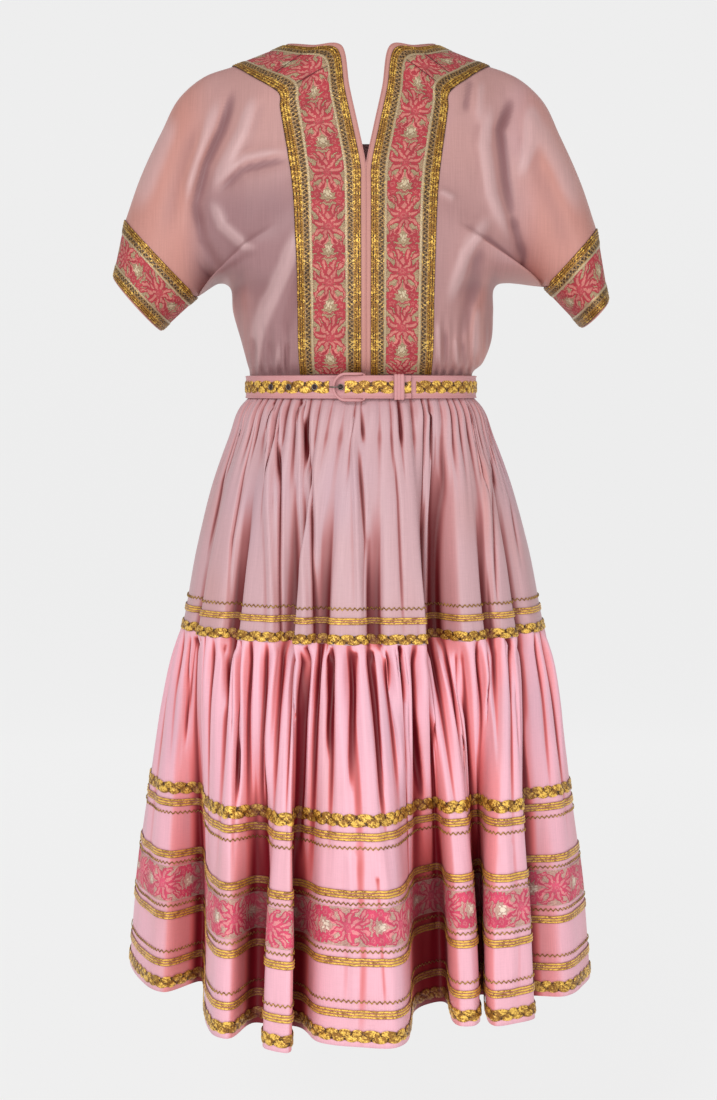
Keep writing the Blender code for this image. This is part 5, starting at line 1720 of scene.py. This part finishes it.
def gold(name, gap=GOLD_GAP_SHADE, lines=0):
    """Metal thread: the gap colour between the cords, painted shade for the dark default, a painted
    highlight on them, with painted glints. Lines make flat cords.
    """
    look = Look(name)
    grain = look.noise(GRAIN)
    glint = look.noise(GLINTS)
    reflection_sweep = look.noise(SWEEPS, 1.0)
    tone = look.value("tone")
    if lines:
        wave = look.math("SINE", look.times(look.uv()[1], math.pi * lines))
        tone = look.ramp(look.size(wave), 0.25, 0.75)
    tone = look.plus(tone, look.spread(grain, 0.30))
    # Painted glints, and a painted reflection that sweeps along the thread, added to the height of the
    # cords.
    shine = look.plus(tone, look.spread(glint, 0.35))
    shine = look.plus(shine, look.spread(reflection_sweep, 0.20))
    # Painted shade in the gaps where the cords lie low, painted highlight where they stand high or
    # glint.
    colour = look.mix(look.ramp(tone, 0.15, 0.42), gap, GOLD_MID)
    colour = look.mix(look.ramp(shine, 0.50, 1.15), colour, GOLD_HIGHLIGHT)
    colour = look.mix(look.times(look.value("pale"), 0.9), colour, CREAM)
    colour = look.mix(look.times(look.value("shade"), 0.85), colour, SHADE)
    look.set(Base_Color=colour, Roughness=0.38, Metallic=0.35, Specular_IOR_Level=0.5)
    look.bump(shine, 0.0005, 0.9)
    return look.material


def brocade(name, colours):
    """A woven ribbon: flowers, leaves and scrolls on a pale ground, mirrored about its middle."""
    look = Look(name)
    u, v = look.uv()[:2]
    folded = look.size(v)
    where = look.node("ShaderNodeCombineXYZ", look.math("FLOORED_MODULO", u, REPEAT), folded, 0.0)
    warp = look.noise(DRAWING, 1.0, where.outputs[0])
    fine = look.noise(TENDRILS, 1.0, where.outputs[0])
    sway = look.noise(SWAY, 0.0)
    along = look.plus(u, look.spread(warp, 0.0007))
    leaning = look.size(look.plus(v, look.spread(sway, 0.0012)))
    across = look.plus(leaning, look.spread(fine, 0.0005))

    def local(centre, high):
        shifted = look.plus(along, REPEAT / 2 - centre)
        x = look.minus(look.math("FLOORED_MODULO", shifted, REPEAT), REPEAT / 2)
        return x, look.minus(across, high)

    def polar(x, y):
        return look.math("SQRT", look.plus(look.times(x, x), look.times(y, y)))

    def band(value, count, low, high):
        share = look.math("FRACT", look.times(value, count))
        return look.ramp(look.size(look.minus(share, 0.5)), low, high)

    def draw(inside, shade, veins):
        state["colour"] = look.mix(inside, state["colour"], look.mix(veins, *shade))
        height = look.times(inside, look.minus(1.0, look.times(veins, 0.5)))
        state["raised"] = look.math("MAXIMUM", state["raised"], height)

    shades = {
        "flower": (colours["flower"], colours["pale"]),
        "pale": (colours["pale"], colours["flower"]),
        "heart": (colours["heart"], colours["pale"]),
    }
    tendrils = look.times(band(fine, 9.0, 0.16, 0.08), 0.70)
    state = {"colour": look.mix(tendrils, colours["ground"], colours["flower"]), "raised": tendrils}
    for centre, high, radius, thick in SCROLLS:
        away = look.size(look.minus(polar(*local(centre, high)), radius))
        vein = look.ramp(away, thick * 0.7, thick * 0.4)
        draw(look.ramp(away, thick * 1.5, thick), shades["flower"], vein)
    for centre, high, long, wide, turn, bend, shade in LEAVES:
        x, y = local(centre, high)
        cosine, sine = math.cos(math.radians(turn)), math.sin(math.radians(turn))
        run = look.plus(look.times(x, cosine), look.times(y, sine))
        side = look.minus(look.times(y, cosine), look.times(x, sine))
        square = look.times(run, run)
        side = look.size(look.plus(side, look.times(square, bend)))
        side = look.math("DIVIDE", side, wide)
        share = look.plus(look.times(square, 1 / long ** 2), side)
        vein = look.times(look.ramp(side, 0.56, 0.38), look.ramp(share, 0.80, 0.62))
        draw(look.ramp(share, 1.22, 1.14), shades[shade], vein)
    for centre, high, radius, petals, shade in BLOSSOMS:
        x, y = local(centre, high)
        turn = look.math("ARCTAN2", y, x)
        lobes = look.size(look.math("COSINE", look.times(turn, petals / 2)))
        reach = look.plus(look.times(lobes, radius * 0.38), radius * 0.66)
        share = look.math("DIVIDE", polar(x, y), reach)
        eye = look.times(look.ramp(share, 0.20, 0.28), look.ramp(share, 0.50, 0.42))
        draw(look.ramp(share, 1.10, 1.0), shades[shade], look.times(eye, 0.55))
    for centre, high, long, wide in SPOTS:
        x, y = local(centre, high)
        share = polar(look.math("DIVIDE", x, long), look.math("DIVIDE", y, wide))
        draw(look.ramp(share, 1.15, 0.85), (colours["spot"], colours["spot"]), 0.0)
    border = look.ramp(folded, RIBBON_EDGE - 0.0004, RIBBON_EDGE + 0.0004)
    colour = look.mix(border, state["colour"], colours["ground"])
    weave = look.noise(WEAVE, 1.0)
    patch = look.noise(PATCHES)
    threads = look.ramp(weave, *NOISE_RANGE, 0.78, 1.16)
    colour = look.times_grey(colour, look.times(threads, look.ramp(patch, *NOISE_RANGE, 0.86, 1.10)))
    colour = look.mix(look.times(look.value("shade"), 0.88), colour, SHADE)
    look.set(Base_Color=colour, Roughness=0.62, Specular_IOR_Level=0.3)
    look.bump(look.plus(state["raised"], look.times(weave, 0.35)), 0.0006, 1.0)
    return look.material


def darker(colour, share):
    return tuple(each * (1 - share) for each in colour)


def plain(name, colour, roughness, metallic=0.0):
    """A finish with slight changes of tone."""
    look = Look(name)
    cloud = look.noise(METAL_CLOUDS, 3.0, look.node("ShaderNodeTexCoord").outputs["Object"])
    shaded = look.mix(look.ramp(cloud, *NOISE_RANGE), darker(colour, PLAIN_VARY), colour)
    look.set(Base_Color=shaded, Roughness=roughness, Metallic=metallic)
    return look.material


# Studio


def light(name, place, power, size, height):
    data = bpy.data.lights.new(name, "AREA")
    data.shape = "DISK"
    data.energy = power
    data.size = size
    made = bpy.data.objects.new(name, data)
    made.location = place
    run = np.array((0.0, 0.0, height)) - np.array(place, float)
    tilt = math.atan2(math.hypot(run[0], run[1]), -run[2])
    made.rotation_euler = (tilt, 0, math.atan2(-run[0], run[1]))
    bpy.context.scene.collection.objects.link(made)


def paper():
    """Pale paper that glows a little, so that its shadows stay faint."""
    look = Look("backdrop_paper")
    cloud = look.noise(PAPER_CLOUDS, 1.0)
    look.set(Base_Color=look.mix(cloud, BACKDROP, darker(BACKDROP, PAPER_VARY)), Roughness=0.9)
    look.set(Emission_Color=(1.0, 1.0, 1.0), Emission_Strength=BACK_GLOW)
    return look.material


def camera():
    """The view of the picture."""
    data = bpy.data.cameras.new("picture")
    data.lens = CAMERA_LENS
    data.sensor_width = CAMERA_SENSOR
    data.shift_x, data.shift_y = CAMERA_SHIFT
    made = bpy.data.objects.new("picture", data)
    made.location = (0.0, -CAMERA_FAR, CAMERA_Z)
    made.rotation_euler = (math.pi / 2, 0.0, 0.0)
    bpy.context.scene.collection.objects.link(made)
    bpy.context.scene.camera = made


def studio():
    """A pale floor that curves up behind, soft light from the front and above, and the camera."""
    turn = np.linspace(0, math.pi / 2, 24)
    bend = np.stack([BACK_Y - COVE + COVE * np.sin(turn), FLOOR_Z + COVE - COVE * np.cos(turn)], axis=1)
    line = np.vstack([[-FLOOR_HALF, FLOOR_Z], bend, [BACK_Y, BACKDROP_TOP]])
    grid = np.stack([np.column_stack([np.full(len(line), x), line]) for x in (-FLOOR_HALF, FLOOR_HALF)])
    add_grid("backdrop", grid, paper(), uv=grid[..., :2])
    for each in LIGHTS:
        light(*each)
    world = bpy.data.worlds.new("studio")
    world.use_nodes = True
    ambient = world.node_tree.nodes["Background"].inputs
    ambient[0].default_value = (1.0, 1.0, 1.0, 1.0)
    ambient[1].default_value = WORLD_LIGHT
    bpy.context.scene.world = world
    bpy.context.scene.view_settings.view_transform = "Standard"
    camera()


# The dress


def dress_skirt(looks):
    seam = folded_ring(UPPER_FOLDS, UPPER_QUARTERS, TIER_SEAM_Z)
    hem = folded_ring(HEM_FOLDS, HEM_QUARTERS, HEM_Z)
    edges = {
        "upper": ((plain_ring(), seam), (WAIST_SEAM_Z, TIER_SEAM_Z)),
        "lower": ((seam, hem), (TIER_SEAM_Z + SEAM_LAP, HEM_Z)),
    }
    cloths, panels = {}, {}
    for name, (rows, gathers, seed, creases, look) in TIERS.items():
        grid, heights = tier(*edges[name], rows, gathers, seed)
        grid = creased(grid, creases)
        panels[name], shade = add_tier(name, grid, looks[look], name == "lower")
        cloths[name] = Cloth(grid, heights, np.arange(COLUMNS) / COLUMNS, True, shade=shade)
    trims = []
    for number, (where, kind, top, low) in enumerate(TRIMS):
        trims.append(skirt_trim(f"trim_{number:02d}_{kind}", cloths[where], kind, top, low, looks))
    finish_skirt(panels, trims, skirt_ribbon(cloths["lower"], looks["brocade_pink"]))


def finish_skirt(panels, trims, skirt_band):
    for name, slot_name, hung_from in SKIRT_PANELS:
        for panel, side in zip(panels[name], ("front", "back")):
            node = f"skirt_{name}_{side}"
            worn(panel, slot_name, node)
    for number, trim in enumerate(trims):
        worn(trim, "gold_braid", *CARRIED_TRIMS.get(number, ()))
    worn(skirt_band, "brocade", "skirt_brocade")


def worn(piece, slot_name, *nodes):
    """A piece of the dress: it rides on the root and stands for the given solids."""
    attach(piece, "root")
    if nodes:
        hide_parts(*nodes)


def wear_trims(made, nodes):
    """Ribbons and braids by their keys, each for the solid it stands for."""
    for key, node in nodes.items():
        worn(made[key], "brocade" if key == "ribbon" else "gold_braid", node)


def dress_bodice(looks):
    sides = ("left", "right")
    halves = {(side, back): bodice_sheet(side, back) for side in sides for back in (False, True)}
    for side in sides:
        cloth = halves[side, False]
        open_neck(halves[side, True])
        front = add_bodice(f"front_{side}_cloth", [cloth], looks["bodice"])
        worn(front, "taffeta_rose", f"bodice_front_{side}")
        wear_trims(band_trims(cloth, side, looks), {
            "inner": f"braid_inner_{side}",
            "outer": f"braid_outer_{side}",
            "ribbon": f"brocade_front_{side}",
        })
        for line in mitre(f"mitre_{side}", cloth, looks["painted_shadow"], side):
            worn(line, "taffeta_rose")
        made = cuff_trims(side, cuff_cloth(cloth, halves[side, True]), looks)
        wear_trims(made, {
            "top": f"cuff_braid_top_{side}",
            "low": f"cuff_braid_low_{side}",
            "ribbon": f"cuff_brocade_{side}",
        })
        worn(made["hem"], "taffeta_rose")
        worn(edge_fold(side, cloth, looks), "taffeta_rose")
    behind = [halves["left", True], halves["right", True]]
    back = add_bodice("back_cloth", behind, looks["bodice"])
    worn(back, "taffeta_rose", "bodice_back")
    nodes = {"inner": "braid_inner_back", "outer": "braid_outer_back", "ribbon": "brocade_back"}
    wear_trims(neck_band(behind, looks), nodes)
    worn(zip_strip(halves["right", False], looks["bodice"]), "taffeta_rose", "zip_tape")


def edge_fold(side, cloth, looks):
    """The folded edge of a front, up the middle and round the neck."""
    points, normals, _ = cloth.along(np.linspace(*EDGE_FOLD_ROWS, 300), np.zeros(300))
    return add_pipe(f"edge_fold_{side}", points, EDGE_FOLD_RADIUS, looks["bodice"], out=normals)


def dress_belt(looks):
    worn(belt_strap(looks), "taffeta_rose", "belt")
    worn(belt_braid("gold_belt", BELT_BRAID_X, looks), "gold_braid", "belt_braid")
    tab = [belt_braid(f"gold_tab_{number}", places, looks) for number, places in enumerate(TAB_BRAIDS_X)]
    worn(joined("gold_tab", tab), "gold_braid", "belt_braid_tab")
    worn(buckle(looks), "taffeta_rose", "buckle")
    worn(keeper(looks), "taffeta_rose", "belt_keeper")
    rings, pin = eyelets(looks)
    for number, ring in enumerate(rings, 1):
        worn(ring, "metal", f"eyelet_{number}")
    worn(pin, "metal", "prong")


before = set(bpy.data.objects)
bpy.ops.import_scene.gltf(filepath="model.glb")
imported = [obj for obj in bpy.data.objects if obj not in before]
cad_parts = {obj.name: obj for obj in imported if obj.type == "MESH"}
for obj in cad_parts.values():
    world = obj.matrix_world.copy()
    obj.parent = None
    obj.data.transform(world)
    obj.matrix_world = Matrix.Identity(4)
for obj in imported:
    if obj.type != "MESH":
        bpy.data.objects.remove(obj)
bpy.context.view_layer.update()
all_looks = {
    "rose": taffeta("taffeta_rose_cloth", ROSE),
    "bodice": taffeta("taffeta_bodice_cloth", BODICE, body=True, strength=0.5),
    "sleeve": plain("cuff_fold_cloth", PEACH, 0.5),
    "pink": taffeta("taffeta_pink_cloth", PINK),
    "gold": gold("gold_thread"),
    "cord": gold("gold_cord", gap=(0.560, 0.200, 0.200), lines=3),
    "brocade": brocade("brocade_coral", CORAL_SHADES),
    "brocade_pink": brocade("brocade_pink", PINK_SHADES),
    "metal": plain("nickel", (0.20, 0.17, 0.15), 0.40, 1.0),
    "painted_shadow": plain("seam_shadow", (0.030, 0.008, 0.008), 0.8),
}
dress_skirt(all_looks)
dress_bodice(all_looks)
dress_belt(all_looks)
studio()
